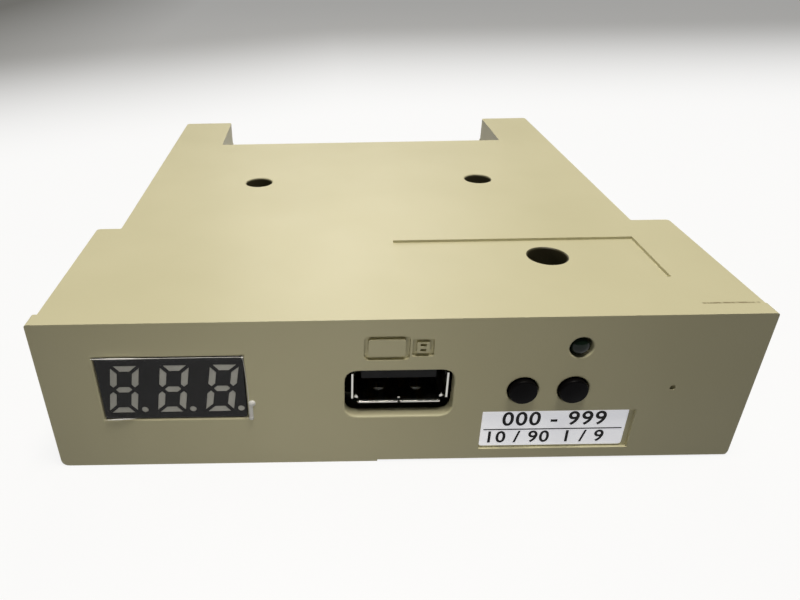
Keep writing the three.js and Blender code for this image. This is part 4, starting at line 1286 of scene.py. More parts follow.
@dataclass
class NumberDisplay:
    """Three digits of seven bars under their film, with the board and header at their back.

    Attributes:
        digits: How many digits.
        pitch: Distance from digit to digit.
        shift: How far the middle digit stands to the right of the module's middle.
        fall: How far the digits stand below it.
        width: Width of a digit, upright.
        height: Height of a digit.
        slant_degrees: Lean of the digits.
        bar: Width of a bar.
        gap: Gap between bars.
        drop: Depth of the bars' recesses.
        point_radius: Radius of a decimal point.
        point_reach: Distance from a digit's middle to its point.
        point_flat: Flat front of a point, as a share of its radius.
        seat: Gap round each bar in its recess.
        edge_mm: Edge radius of the board, and four times that of the module.
        pin_edge: Edge radius of a pin.
        strip_chamfer: Cut corner of each unit of the header's strip.
        columns: Number of pins of the header.
    """

    digits: int = 3
    pitch: float = 7.02
    shift: float = 0.1
    fall: float = 0.15
    width: float = 4.1
    height: float = 8.3
    slant_degrees: float = 9.6
    bar: float = 1.0
    gap: float = 0.33
    drop: float = 0.15
    point_radius: float = 0.5
    point_reach: float = 3.1
    point_flat: float = 0.8
    seat: float = 0.02
    edge_mm: float = 0.12
    pin_edge: float = 0.05
    strip_chamfer: float = 0.25
    columns: int = 7

    def bars(self) -> list[Outline]:
        """Gives the seven bars of one digit about its own middle, upright."""
        w, h, b, g = self.width / 2, self.height / 2, self.bar, self.gap
        crossbar = [(-w + g, h), (w - g, h), (w - b - g, h - b), (-w + b + g, h - b)]
        upright = [(-w, h - g), (-w + b, h - b - g), (-w + b, b / 2 + g), (-w + b / 2, g), (-w, b / 2 + g)]
        middle = [(-w + b / 2 + g, 0), (-w + b + g, b / 2), (w - b - g, b / 2), (w - b / 2 - g, 0),
                  (w - b - g, -b / 2), (-w + b + g, -b / 2)]
        flips = [(crossbar, 1, 1), (crossbar, 1, -1), (middle, 1, 1)]
        flips += [(upright, sx, sz) for sx in (-1, 1) for sz in (-1, 1)]
        return [[(sx * x, sz * z) for x, z in line] for line, sx, sz in flips]

    def shrunk(self, line: Outline) -> Outline:
        """Draws an outline in towards its middle by the seat gap.

        Args:
            line: Corners in order.

        Returns:
            The smaller outline.
        """
        mx = sum(x for x, _ in line) / len(line)
        mz = sum(z for _, z in line) / len(line)
        share = 1 - 2 * self.seat / self.bar
        return [(mx + (x - mx) * share, mz + (z - mz) * share) for x, z in line]

    def digit(self, number: int, x: float, z: float, face: float) -> Piece:
        """Fills the recesses of one digit with epoxy.

        Args:
            number: Count from the left.
            x: Middle of the digit across.
            z: Middle of the digit up.
            face: Place of the module's face.

        Returns:
            The bars and the point as one piece.
        """
        lean = math.tan(math.radians(self.slant_degrees))
        shape = bmesh.new()
        y0, y1 = face + self.drop / 4, face + self.drop - self.seat / 2
        for line in self.bars():
            leaning = [(x + px + pz * lean, z + pz) for px, pz in self.shrunk(line)]
            add_prism(shape, leaning, y0, y1)
        pz = self.point_radius - self.height / 2
        px = x + self.point_reach + pz * lean
        radius = self.point_radius - self.seat
        profile = [(0.0, y0), (radius * self.point_flat, y0), (radius, y0 + self.seat), (radius, y1),
                   (0.0, y1)]
        add_turned(shape, profile, Vector((px, 0.0, z + pz)), upright=False, sides=24)
        return eased(placed(f"display_digit_{number}", shape), self.seat, steps=1, degrees=TURNED_DEGREES)

    def header(self) -> None:
        """Builds the header between the display's board and the main board."""
        low, high = node_box("display_header")
        board_top = node_box("main_board")[1].z
        middle_x = (low.x + high.x) / 2
        z = high.z - HEADER_PITCH / 2
        strip, pins = bmesh.new(), bmesh.new()
        half = HEADER_PITCH / 2
        for x in spread(middle_x, HEADER_PITCH, self.columns):
            add_block(strip, (x - half, low.y, z - half), (x + half, low.y + STRIP_DEPTH, z + half),
                      self.strip_chamfer)
            start = Vector((x, low.y, z))
            corner = Vector((x, high.y - HEADER_PIN / 2, z))
            foot = Vector((x, corner.y, board_top))
            path = [start, *bend(corner, start, foot, HEADER_PIN), foot]
            add_wire(pins, path, ACROSS, HEADER_PIN, HEADER_PIN)
        ridden(placed("display_header_strip", strip), BLACK_POLYESTER, ["display_header"])
        ridden(eased(placed("display_header_pins", pins), self.pin_edge), GOLD_FLASH)

    def build(self) -> None:
        """Builds the display."""
        dressed("display_case", DISPLAY_INK, self.edge_mm / 4)
        middle = front_middle("display_case")
        for i, x in enumerate(spread(middle.x + self.shift, self.pitch, self.digits)):
            ridden(self.digit(i + 1, x, middle.z - self.fall, middle.y), MILKY_EPOXY)
        ProtectiveFilm(middle).build()
        dressed("display_board", GREEN_MASK, self.edge_mm)
        self.header()


@dataclass
class FaceLabel:
    """Paper label in the recess of the face, with plain numbers for the digits and the two buttons.

    Attributes:
        left: Left edge of the label.
        bottom: Bottom edge of the label.
        width: Width of the label.
        height: Height of the label.
        recess_drop: Depth of the recess that it lies in.
        thickness: Thickness of the paper.
        corner: Corner radius.
        split_share: Height of the dividing line as a share of the label.
        line: Thickness of the dividing line.
        print_height: How far the print stands off the paper.
        upper_size: Height of the upper figures, and how far their strokes are thickened.
        lower_size: The same of the lower figures.
        figure_share: Height of a figure as a share of the type's size.
        spacing: Distance from figure to figure as a share of the type's own.
        step_shares: Middles of the lower figures as shares of the label's width.
    """

    left: float = 12.78
    bottom: float = 2.45
    width: float = 21.5
    height: float = 6.82
    recess_drop: float = 0.5
    thickness: float = 0.14
    corner: float = 0.45
    split_share: float = 0.46
    line: float = 0.2
    print_height: float = 0.02
    upper_size: Pair = (2.55, 0.07)
    lower_size: Pair = (2.2, 0.06)
    figure_share: float = 0.72
    spacing: float = 1.12
    step_shares: Pair = (0.26, 0.72)

    def paper(self, y: float) -> Piece:
        """Cuts the paper.

        Args:
            y: Back of the paper.

        Returns:
            The paper.
        """
        shape = bmesh.new()
        middle_x, middle_z = self.left + self.width / 2, self.bottom + self.height / 2
        add_prism(shape, rounded(middle_x, middle_z, self.width, self.height, self.corner),
                  y - self.thickness, y)
        return eased(placed("face_label", shape), self.thickness / 4)

    def figures(self, name: str, text: str, size: Pair, place: Triple) -> None:
        """Prints a row of figures.

        Args:
            name: Name of the piece.
            text: Plain figures.
            size: Height of a figure, and how far its strokes are thickened.
            place: Middle of the row, on the paper.
        """
        curve = bpy.data.curves.new(name, "FONT")
        curve.body = text
        curve.size = size[0] * MM / self.figure_share
        curve.align_x = "CENTER"
        curve.align_y = "CENTER"
        curve.offset = size[1] * MM
        curve.extrude = self.print_height / 2 * MM
        curve.space_character = self.spacing
        written = linked(name, curve)
        mesh = evaluated_mesh(written)
        mesh.transform(Matrix.Translation(Vector(place) * MM) @ Matrix.Rotation(QUARTER, 4, "X"))
        bpy.data.objects.remove(written)
        ridden(linked(name, mesh), BLACK_PRINT)

    def build(self) -> None:
        """Builds the label."""
        floor = node_box("upper_housing")[0].y + self.recess_drop
        front = floor - self.thickness
        split = self.bottom + self.height * self.split_share
        top = self.bottom + self.height
        ridden(self.paper(floor), COATED_PAPER)
        rule = bmesh.new()
        add_block(rule, (self.left + self.corner, front - self.print_height, split - self.line / 2),
                  (self.left + self.width - self.corner, front, split + self.line / 2))
        ridden(placed("face_label_rule", rule), BLACK_PRINT)
        self.figures("face_label_range", "000 - 999", self.upper_size,
                     (self.left + self.width / 2, front, (split + top) / 2))
        for side, share, text in zip(BUTTON_SIDES, self.step_shares, ("10 / 90", "1 / 9")):
            self.figures(f"face_label_{side}_step", text, self.lower_size,
                         (self.left + self.width * share, front, (self.bottom + split) / 2))


@dataclass
class CircuitBoard:
    """Main board with what is soldered to it, apart from the headers at its rear.

    Attributes:
        edge_mm: Edge radius of the cut laminate.
        chip_edge_mm: Cut edge of the chips.
        chip_lift: How far a chip's body stands off the board.
        lead_reach: How far a chip's leads reach beyond its body.
        lead_thickness: Thickness of a chip's lead.
        chips: Node, leads along a side, their pitch and width, and True where all four sides have them.
        dimple: Radius of the mark at a chip's first lead.
        dimple_flat: Flat top of that mark as a share of its radius.
        dimple_rise: How far it stands over the chip.
        regulator_reach: How far the regulator's legs and tab reach beyond its body.
        regulator_roots: Length of its legs and of its tab, in times that reach.
        regulator_tab: Width of its tab.
        regulator_leg: Width of a leg.
        regulator_metal: Thickness of both.
        passives: Rows of small parts, as left end across and along, number and True for capacitors.
        passive_size: Length, width and height of a small part.
        passive_pitch: Distance between small parts.
        cap_share: Share of a small part's length that each end cap takes.
        tall_shares: Height of capacitors and of resistors as a share of the small part's.
        part_inset: How far the body lies inside its end caps, and its cut edge.
        metal_edge: Cut edge of end caps, tab and legs.
        can_base: Height of a can's base.
        can_waist: Depth of the groove above the base of a can.
        can_mark: Start and sweep of the dark mark on top, in degrees.
        print_height: How far print stands off what it is on.
        pad_thickness: Thickness of the solder on a pad.
    """

    edge_mm: float = 0.12
    chip_edge_mm: float = 0.14
    chip_lift: float = 0.1
    lead_reach: float = 1.0
    lead_thickness: float = 0.18
    chips: tuple[tuple[str, int, float, float, bool], ...] = (
        ("controller_chip", 12, 0.5, 0.22, True), ("display_driver_chip", 8, 1.27, 0.42, False))
    dimple: float = 0.35
    dimple_flat: float = 0.8
    dimple_rise: float = 0.015
    regulator_reach: float = 1.7
    regulator_roots: Pair = (1.3, 2.0)
    regulator_tab: float = 3.0
    regulator_leg: float = 0.5
    regulator_metal: float = 0.25
    passives: tuple[tuple[float, float, int, bool], ...] = (
        (-28.0, -22.0, 5, True), (-12.0, -3.5, 6, False), (6.5, -8.0, 5, True), (6.5, -16.0, 4, False),
        (-34.0, 12.0, 4, False), (4.0, 20.5, 7, True), (-20.0, 24.5, 5, False), (28.0, 8.0, 4, True))
    passive_size: Triple = (1.6, 0.8, 0.5)
    passive_pitch: float = 1.9
    cap_share: float = 0.22
    tall_shares: Pair = (1.3, 0.8)
    part_inset: float = 0.03
    metal_edge: float = 0.05
    can_base: float = 0.6
    can_waist: float = 0.35
    can_mark: Pair = (110.0, 140.0)
    print_height: float = 0.02
    pad_thickness: float = 0.04

    def chip(self, node: str, leads: int, pitch: float, width: float, four_sides: bool) -> None:
        """Builds a chip's body and its gull-wing leads.

        Args:
            node: Frame node that it stands for.
            leads: Leads along one side.
            pitch: Distance from lead to lead.
            width: Width of a lead.
            four_sides: True when all four sides have leads.
        """
        low, high = node_box(node)
        middle = (low + high) / 2
        reach, rise, dimple = self.lead_reach, self.dimple_rise, self.dimple
        half_x = (high.x - low.x) / 2 - (reach if four_sides else 0.0)
        half_y = (high.y - low.y) / 2 - reach
        bottom = low.z + self.chip_lift
        body, metal = bmesh.new(), bmesh.new()
        add_block(body, (middle.x - half_x, middle.y - half_y, bottom),
                  (middle.x + half_x, middle.y + half_y, high.z), self.chip_edge_mm)
        mark = Vector((middle.x - half_x + 3 * dimple, middle.y - half_y + 3 * dimple, high.z))
        add_turned(body, [(0.0, rise), (dimple * self.dimple_flat, rise), (dimple, 0.0),
                          (dimple, -self.chip_lift), (0.0, -self.chip_lift)], mark, upright=True, sides=20)
        sides = [(0, half_y), (2, half_y)] + ([(1, half_x), (3, half_x)] if four_sides else [])
        for quarter, start in sides:
            turn = Matrix.Rotation(quarter * QUARTER, 3, "Z")
            mid, t, knee = (bottom + high.z) / 2, self.lead_thickness, start + reach / 2
            profile = [(start - t, mid), (knee - t, mid), (knee, mid - t), (knee, low.z + 1.5 * t),
                       (knee + t, low.z + t / 2), (start + reach, low.z + t / 2)]
            for x in spread(0.0, pitch, leads):
                path = [turn @ Vector((x, y, 0.0)) + Vector((middle.x, middle.y, z)) for y, z in profile]
                add_wire(metal, path, turn @ ACROSS, width, t)
        ridden(placed(f"{node}_body", body), CHIP_EPOXY, [node])
        ridden(placed(f"{node}_leads", metal), TIN_PLATE)

    def small_parts(self, top: float) -> None:
        """Sets the rows of small resistors and capacitors on their pads.

        Args:
            top: Top of the board.
        """
        length, width, height = self.passive_size
        half, cap = width / 2, length * self.cap_share
        shapes = {True: bmesh.new(), False: bmesh.new()}
        metal = bmesh.new()
        for x0, y, count, ceramic in self.passives:
            tall = height * self.tall_shares[0 if ceramic else 1]
            for x in (x0 + i * self.passive_pitch for i in range(count)):
                inset = half - self.part_inset
                add_block(shapes[ceramic], (x - inset, y - length / 2 + cap, top + self.print_height),
                          (x + inset, y + length / 2 - cap, top + tall - self.print_height), self.part_inset)
                for end in (-1, 1):
                    near, far, pad = (y + end * (length / 2 + out) for out in (-cap, 0.0, cap))
                    add_block(metal, (x - half, min(near, far), top), (x + half, max(near, far), top + tall),
                              self.metal_edge)
                    add_block(metal, (x - half, min(near, pad), top),
                              (x + half, max(near, pad), top + self.pad_thickness))
        ridden(placed("board_ceramic_capacitors", shapes[True]), TAN_CERAMIC)
        ridden(placed("board_resistors", shapes[False]), CHIP_EPOXY)
        ridden(placed("board_end_caps", metal), TIN_PLATE)

    def can(self, node: str) -> None:
        """Builds an aluminium capacitor: can, base and the dark mark on its top.

        Args:
            node: Frame node that it stands for.
        """
        low, high = node_box(node)
        middle = Vector(((low.x + high.x) / 2, (low.y + high.y) / 2, 0.0))
        radius, base = (high.x - low.x) / 2, low.z + self.can_base
        edge, waist = self.can_waist, base + 3 * self.can_waist
        profile = [(0.0, base), (radius, base), (radius, waist - edge)]
        profile += [(radius - edge * math.sin(a), waist - edge * math.cos(a))
                    for a in stepped(math.pi, 8)[1:-1]]
        profile += [(radius, waist + edge)]
        profile += [(radius - edge + edge * math.cos(a), high.z - edge + edge * math.sin(a))
                    for a in stepped(QUARTER, 6)]
        inner, top = radius - 2 * edge, high.z - edge / 3
        profile += [(inner, top), (0.0, top)]
        barrel, foot, mark = bmesh.new(), bmesh.new(), bmesh.new()
        add_turned(barrel, profile, middle, upright=True)
        add_block(foot, (low.x, low.y, low.z), (high.x, high.y, base), edge)
        start, sweep = self.can_mark
        arc = [math.radians(start + turn) for turn in stepped(sweep, 16)]
        mark.faces.new([mark.verts.new((middle.x + inner * math.cos(a), middle.y + inner * math.sin(a),
                                        top + self.print_height)) for a in arc])
        ridden(placed(f"{node}_can", barrel), DRAWN_ALUMINIUM, [node])
        ridden(placed(f"{node}_base", foot), BLACK_POLYESTER)
        ridden(placed(f"{node}_mark", mark), BLACK_PRINT)

    def regulator(self) -> None:
        """Builds the voltage regulator: body, tab and three legs."""
        low, high = node_box("voltage_regulator")
        body, metal = bmesh.new(), bmesh.new()
        middle = (low + high) / 2
        reach, tab, leg = self.regulator_reach, self.regulator_tab / 2, self.regulator_leg / 2
        metal_top = low.z + self.regulator_metal
        add_block(body, (low.x, low.y + reach, low.z), (high.x, high.y - reach, high.z), self.chip_edge_mm)
        leg_share, tab_share = self.regulator_roots
        leg_root, tab_root = low.y + leg_share * reach, high.y - tab_share * reach
        add_block(metal, (middle.x - tab, tab_root, low.z), (middle.x + tab, high.y, metal_top),
                  self.metal_edge)
        for x in spread(middle.x, (high.x - low.x) / 3, 3):
            add_block(metal, (x - leg, low.y, low.z), (x + leg, leg_root, metal_top), self.metal_edge)
        ridden(placed("voltage_regulator_body", body), CHIP_EPOXY, ["voltage_regulator"])
        ridden(placed("voltage_regulator_metal", metal), TIN_PLATE)

    def build(self) -> None:
        """Builds the board and its parts."""
        dressed("main_board", GREEN_MASK, self.edge_mm)
        for chip in self.chips:
            self.chip(*chip)
        dressed("crystal", NICKEL_STEEL, self.edge_mm)
        self.regulator()
        for i in (1, 2):
            self.can(f"capacitor_{i}")
        self.small_parts(node_box("main_board")[1].z)


@dataclass
class RearHeaders:
    """Drive header, jumper header with its caps, and power connector, along the rear of the board.

    Attributes:
        pin_reach: Length of the level pins behind what holds them.
        tip: Length of a pin's thinner end.
        tip_share: Thickness of that end as a share of the pin's.
        chamfer: Cut corner of each moulded unit.
        power_pitch: Distance between power pins.
        power_pins: Number of power pins.
        power_wall: Thickness of the power connector's sides.
        power_back: Thickness of its back.
        power_floor: Thickness of its floor.
        power_reach: How far the floor reaches behind its back.
        power_rib: Height of its side ribs over the floor.
        power_pin_height: Height of its pins over the board.
        pad_radius: Radius of a solder pad.
        pad_height: Height of the solder on it.
        pad_shoulder: Shoulder of the solder, as a share of the pad's radius and of its height.
        edge_mm: Edge radius of pins and caps.
        pads: Places of the solder pads, filled in as the pins are built.
    """

    pin_reach: float = 6.0
    tip: float = 0.45
    tip_share: float = 0.72
    chamfer: float = 0.3
    power_pitch: float = 2.5
    power_pins: int = 4
    power_wall: float = 1.2
    power_back: float = 2.6
    power_floor: float = 1.4
    power_reach: float = 7.0
    power_rib: float = 2.0
    power_pin_height: float = 3.9
    pad_radius: float = 0.8
    pad_height: float = 0.12
    pad_shoulder: float = 0.7
    edge_mm: float = 0.05
    pads: list[Pair] = field(default_factory=list)

    def add_pin(self, shape: Shape, path: Sequence[Vector], onward: Vector) -> None:
        """Adds a pin that thins at its end.

        Args:
            shape: Shape that gets the pin.
            path: Middle line of the pin, up to its tip.
            onward: Unit direction of its last run.
        """
        *run, tip = path
        shank = tip - onward * self.tip
        add_wire(shape, [*run, shank], ACROSS, HEADER_PIN, HEADER_PIN)
        add_wire(shape, [shank, tip], ACROSS, HEADER_PIN * self.tip_share, HEADER_PIN * self.tip_share)

    def bent_pin(self, shape: Shape, x: float, z: float, bend_y: float, tip_y: float, top: float) -> None:
        """Adds a pin that comes up from the board and turns to the rear.

        Args:
            shape: Shape that gets the pin.
            x: Middle of the pin across.
            z: Height of its level run.
            bend_y: Place of its upright run.
            tip_y: Place of its tip.
            top: Top of the board.
        """
        foot, corner, tip = Vector((x, bend_y, top)), Vector((x, bend_y, z)), Vector((x, tip_y, z))
        self.add_pin(shape, [foot, *bend(corner, foot, tip, HEADER_PIN), tip], Vector((0.0, 1.0, 0.0)))
        self.pads.append((x, bend_y))

    def drive_header(self, top: float) -> None:
        """Builds the two-row header for the drive ribbon.

        Args:
            top: Top of the board.
        """
        low, high = node_box("drive_header")
        columns = round((high.x - low.x) / HEADER_PITCH)
        half, inset = HEADER_PITCH / 2, self.chamfer
        rear = high.y - self.pin_reach
        front = rear - STRIP_DEPTH
        strip, pins = bmesh.new(), bmesh.new()
        for x in spread((low.x + high.x) / 2, HEADER_PITCH, columns):
            for row in range(2):
                z = high.z - HEADER_PITCH * (2 - row) + half
                add_block(strip, (x - half, front, z - half), (x + half, rear, z + half), self.chamfer)
                self.bent_pin(pins, x, z, front - HEADER_PITCH * (row + 0.5), high.y, top)
        add_block(strip, (low.x + inset, front + inset, high.z - 2 * HEADER_PITCH + inset),
                  (high.x - inset, rear - inset, high.z - inset))
        ridden(placed("drive_header_strip", strip), BLACK_POLYESTER, ["drive_header"])
        ridden(eased(placed("drive_header_pins", pins), self.edge_mm), GOLD_FLASH)

    def jumper_header(self, top: float) -> None:
        """Builds the upright header for the jumper caps.

        Args:
            top: Top of the board.
        """
        low, high = node_box("jumper_header")
        columns = round((high.x - low.x) / HEADER_PITCH)
        strip, pins = bmesh.new(), bmesh.new()
        half, inset = HEADER_PITCH / 2, self.chamfer
        strip_top = low.z + STRIP_DEPTH
        for x in spread((low.x + high.x) / 2, HEADER_PITCH, columns):
            for y in (low.y + half, low.y + 3 * half):
                add_block(strip, (x - half, y - half, low.z), (x + half, y + half, strip_top), self.chamfer)
                self.add_pin(pins, [Vector((x, y, top)), Vector((x, y, high.z))], Vector((0.0, 0.0, 1.0)))
        add_block(strip, (low.x + inset, low.y + inset, low.z + inset),
                  (high.x - inset, high.y - inset, strip_top - inset))
        ridden(placed("jumper_header_strip", strip), BLACK_POLYESTER, ["jumper_header"])
        ridden(eased(placed("jumper_header_pins", pins), self.edge_mm), GOLD_FLASH)
        for i in (1, 2):
            dressed(f"jumper_cap_{i}", BLACK_POLYESTER, 3 * self.edge_mm)

    def power_connector(self, top: float) -> None:
        """Builds the power connector: moulded back, floor and ribs round its pins.

        Args:
            top: Top of the board.
        """
        low, high = node_box("power_connector")
        rear = high.y - self.pin_reach
        front = rear - self.power_back
        floor_end, floor_top = rear + self.power_reach, low.z + self.power_floor
        shell, pins = bmesh.new(), bmesh.new()
        add_block(shell, (low.x, front, low.z), (high.x, rear, high.z), self.chamfer)
        inset = self.power_wall / 2
        add_block(shell, (low.x + inset, front + self.chamfer, low.z + self.edge_mm),
                  (high.x - inset, floor_end - self.chamfer, floor_top), self.chamfer / 2)
        for left in (low.x, high.x - self.power_wall):
            add_block(shell, (left, front + self.chamfer, low.z),
                      (left + self.power_wall, floor_end, floor_top + self.power_rib), self.chamfer / 2)
        for x in spread((low.x + high.x) / 2, self.power_pitch, self.power_pins):
            self.bent_pin(pins, x, top + self.power_pin_height, front - HEADER_PITCH / 2, high.y, top)
        ridden(placed("power_connector_shell", shell), NATURAL_NYLON, ["power_connector"])
        ridden(eased(placed("power_connector_pins", pins), self.edge_mm), TIN_PLATE)

    def solder(self, top: float) -> None:
        """Rounds a fillet of solder about the foot of every bent pin.

        Args:
            top: Top of the board.
        """
        shape = bmesh.new()
        peak, shoulder = 2 * self.pad_height, self.pad_shoulder
        profile = [(0.0, peak), (HEADER_PIN / 2, peak),
                   (self.pad_radius * shoulder, self.pad_height * shoulder), (self.pad_radius, 0.0)]
        for x, y in self.pads:
            add_turned(shape, profile, Vector((x, y, top)), upright=True, sides=20)
        ridden(placed("header_solder", shape), TIN_PLATE)

    def build(self) -> None:
        """Builds all three."""
        top = node_box("main_board")[1].z
        self.drive_header(top)
        self.jumper_header(top)
        self.power_connector(top)
        self.solder(top)


@dataclass(frozen=True)
class SoftLamp:
    """One square soft lamp that faces the object.

    Attributes:
        name: Name of the lamp.
        place: Where it hangs.
        size: Side of the square.
        watts: Its power.
        hidden: True for one that neither the camera nor a gloss sees.
        colour: Hex colour of its light.
    """

    name: str
    place: Triple
    size: float
    watts: float
    hidden: bool = False
    colour: str = "fffaf0"

    def hang(self) -> None:
        """Hangs the lamp."""
        data = bpy.data.lights.new(self.name, "AREA")
        data.size = self.size * MM
        data.energy = self.watts
        data.color = linear(self.colour)[:3]
        lamp = linked(self.name, data)
        lamp.visible_camera = lamp.visible_glossy = not self.hidden
        spot = Vector(self.place) * MM
        lamp.matrix_world = Matrix.Translation(spot) @ (-spot).to_track_quat("-Z", "Y").to_matrix().to_4x4()


# A window of the ceiling and one far behind, the two pale walls of the room, and what the table throws back
LAMPS = (
    SoftLamp("overhead", (40.0, -105.0, 620.0), 170.0, 3.4),
    SoftLamp("rear_window", (10.0, 360.0, 275.0), 190.0, 0.42),
    SoftLamp("left_wall", (-430.0, 40.0, 150.0), 200.0, 0.36, hidden=True),
    SoftLamp("right_wall", (430.0, 40.0, 150.0), 200.0, 0.36, hidden=True),
    SoftLamp("table_bounce", (-15.0, -108.0, 5.0), 44.0, 0.0145, hidden=True))


@dataclass
class Studio:
    """Floor, soft lamps, sky and the camera at the photograph's viewing angle.

    Attributes:
        camera_place: Where the camera stands.
        camera_aim: The point that it looks at.
        camera_roll: Its roll in degrees.
        lens: Focal length on a sensor 36 mm wide.
        shift: Sideways shift of the lens, as a share of the frame's width.
        floor_size: Side of the floor.
        far_start: Where the painted shade that greys the floor towards the backdrop starts.
        far_end: Where the fall ends.
        left_lean: How much nearer the fall starts for each step to the left.
        side_start: How far to the left the painted shade starts to deepen.
        side_end: Where it is deepest.
        right_share: How far the painted shade goes at the middle and the right.
        far_shade: Hex colour of that painted shade at its deepest.
        haze_start: Distance at which the floor starts to pass into the sky's grey.
        haze_end: Distance at which it is all sky.
        haze: Hex colour of the sky as the camera sees it.
        floor_glow: Share of plain white in what the camera sees of the floor.
        table: Hex colour of the table, which takes the shadow.
        table_roughness: Roughness of its laminate.
        bounce: Hex colour of the light that the table throws back on the object.
        sky: Strength of the sky's even light.
        sky_tint: Hex colour of that light.
    """

    camera_place: Triple = (-10.21, -125.69, 72.14)
    camera_aim: Triple = (-10.96, -0.21, 0.0)
    camera_roll: float = -1.11
    lens: float = 29.83
    shift: float = 0.099
    floor_size: float = 6000.0
    far_start: float = 150.0
    far_end: float = 430.0
    left_lean: float = 0.5
    side_start: float = 130.0
    side_end: float = 330.0
    right_share: float = 0.72
    far_shade: str = "71706c"
    haze_start: float = 650.0
    haze_end: float = 2400.0
    haze: str = "d9d9d8"
    floor_glow: float = 0.86
    table: str = "dedddb"
    table_roughness: float = 0.6
    bounce: str = "444443"
    sky: float = 0.03
    sky_tint: str = "f4f6fa"

    def camera(self) -> None:
        """Sets the camera."""
        data = bpy.data.cameras.new("camera")
        data.lens = self.lens
        data.shift_x = self.shift
        data.clip_start = MM
        camera = linked("camera", data)
        place, aim = Vector(self.camera_place) * MM, Vector(self.camera_aim) * MM
        turn = (aim - place).to_track_quat("-Z", "Y").to_matrix().to_4x4()
        roll = Matrix.Rotation(math.radians(self.camera_roll), 4, "Z")
        camera.matrix_world = Matrix.Translation(place) @ turn @ roll
        bpy.context.scene.camera = camera

    def floor(self) -> None:
        """Lays the white table, with painted shade that greys it behind the object."""
        material = bpy.data.materials.new("white_table_laminate")
        tree = cleared_tree(material)
        place = add_node(tree, "ShaderNodeTexCoord").outputs["Object"]
        reach = add_node(tree, "ShaderNodeVectorMath", {0: place}, operation="LENGTH").outputs["Value"]
        span = {"Value": reach, "From Min": self.haze_start * MM, "From Max": self.haze_end * MM}
        glow = add_node(tree, "ShaderNodeEmission", {
            "Color": self.far_colour(tree, place, span), "Strength": 1.0})
        rays = add_node(tree, "ShaderNodeLightPath").outputs
        laminate = add_node(tree, "ShaderNodeMix", {
            MIX_FACTOR: rays["Is Camera Ray"], MIX_A: linear(self.bounce), MIX_B: linear(self.table)},
            data_type="RGBA")
        paint = add_node(tree, "ShaderNodeBsdfPrincipled", {
            "Base Color": laminate.outputs[MIX_RESULT], "Roughness": self.table_roughness})
        seen = add_node(tree, "ShaderNodeMath", {0: rays["Is Camera Ray"], 1: rays["Is Glossy Ray"]},
                        operation="MAXIMUM")
        level = add_node(tree, "ShaderNodeMapRange", {**span, "To Min": self.floor_glow, "To Max": 1.0})
        share = add_node(tree, "ShaderNodeMath", {0: seen.outputs[0], 1: level.outputs["Result"]},
                         operation="MULTIPLY")
        mix = add_node(tree, "ShaderNodeMixShader", {
            0: share.outputs[0], 1: paint.outputs["BSDF"], 2: glow.outputs["Emission"]})
        add_node(tree, "ShaderNodeOutputMaterial", {"Surface": mix.outputs["Shader"]})
        shape = bmesh.new()
        bmesh.ops.create_grid(shape, x_segments=2, y_segments=2, size=self.floor_size / 2)
        table = placed("table", shape)
        table.data.materials.append(material)

    def far_colour(self, tree: Tree, place: Socket, span: dict) -> Socket:
        """Paints shade that greys the table with its distance, and lets it pass into the sky's grey further
        out.

        Args:
            tree: The table's node tree.
            place: Coordinates in metres.
            span: Settings of a node that runs from the start of the haze to its end.

        Returns:
            The colour output.
        """
        axes = add_node(tree, "ShaderNodeSeparateXYZ", {"Vector": place})
        west = add_node(tree, "ShaderNodeMath", {0: axes.outputs["X"], 1: 0.0}, operation="MINIMUM")
        lean = add_node(tree, "ShaderNodeMath", {0: west.outputs[0], 1: self.left_lean},
                        operation="MULTIPLY")
        depth = add_node(tree, "ShaderNodeMath", {0: axes.outputs["Y"], 1: lean.outputs[0]},
                         operation="SUBTRACT")
        far = add_node(tree, "ShaderNodeMapRange", {
            "Value": depth.outputs[0], "From Min": self.far_start * MM, "From Max": self.far_end * MM},
            interpolation_type="SMOOTHSTEP")
        dim = add_node(tree, "ShaderNodeMapRange", {
            "Value": axes.outputs["X"], "From Min": -self.side_end * MM, "From Max": -self.side_start * MM,
            "To Min": 1.0, "To Max": self.right_share})
        fall = add_node(tree, "ShaderNodeMath", {0: far.outputs["Result"], 1: dim.outputs["Result"]},
                        operation="MULTIPLY")
        # Painted shade: the table darkens to grey with distance, most to the left.
        shade = add_node(tree, "ShaderNodeMix", {
            MIX_FACTOR: fall.outputs[0], MIX_A: linear("ffffff"), MIX_B: linear(self.far_shade)},
            data_type="RGBA")
        away = add_node(tree, "ShaderNodeMapRange", span, interpolation_type="SMOOTHSTEP")
        hazed = add_node(tree, "ShaderNodeMix", {
            MIX_FACTOR: away.outputs["Result"], MIX_A: shade.outputs[MIX_RESULT], MIX_B: linear(self.haze)},
            data_type="RGBA")
        return hazed.outputs[MIX_RESULT]

    def world(self) -> None:
        """Gives the sky an even light, and a pale grey to the camera."""
        world = bpy.data.worlds.new("studio")
        tree = cleared_tree(world)
        rays = add_node(tree, "ShaderNodeLightPath")
        even = add_node(tree, "ShaderNodeBackground", {"Color": linear(self.sky_tint), "Strength": self.sky})
        seen = add_node(tree, "ShaderNodeBackground", {"Color": linear(self.haze), "Strength": 1.0})
        mix = add_node(tree, "ShaderNodeMixShader", {
            0: rays.outputs["Is Camera Ray"], 1: even.outputs["Background"], 2: seen.outputs["Background"]})
        add_node(tree, "ShaderNodeOutputWorld", {"Surface": mix.outputs["Shader"]})
        bpy.context.scene.world = world

    def build(self) -> None:
        """Sets up the studio."""
        bpy.context.scene.view_settings.view_transform = "Standard"
        self.camera()
        self.floor()
        self.world()
        for lamp in LAMPS:
            lamp.hang()


def write_sizes() -> None:
    """Brings the view layer up to date.
    """
    bpy.context.view_layer.update()


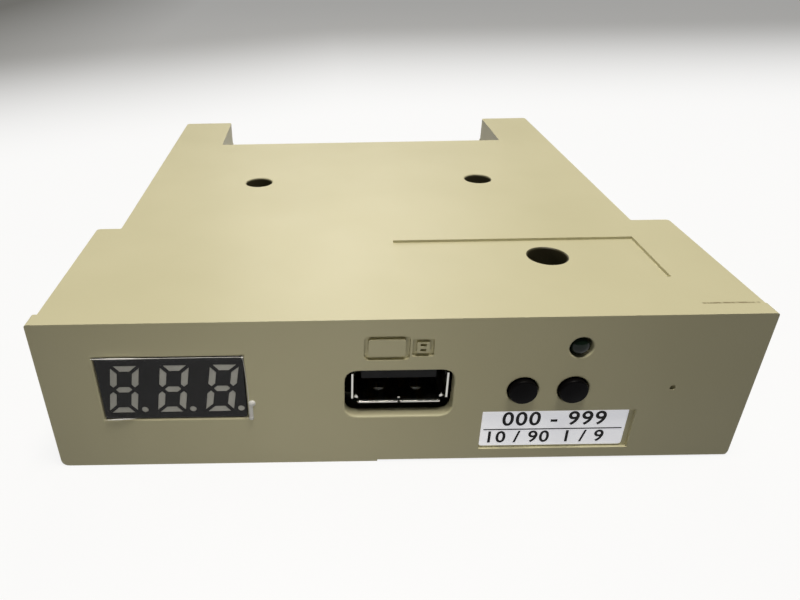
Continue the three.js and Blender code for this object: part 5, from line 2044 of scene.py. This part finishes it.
def main() -> None:
    """Builds the looks over the frame, one sub-assembly after another."""
    logging.basicConfig(level=logging.INFO, format="%(name)s %(message)s")
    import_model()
    Case().build()
    StickSocket().build()
    PushButtons().build()
    StatusLight().build()
    NumberDisplay().build()
    FaceLabel().build()
    CircuitBoard().build()
    RearHeaders().build()
    Studio().build()
    write_sizes()


if __name__ == "__main__":
    main()
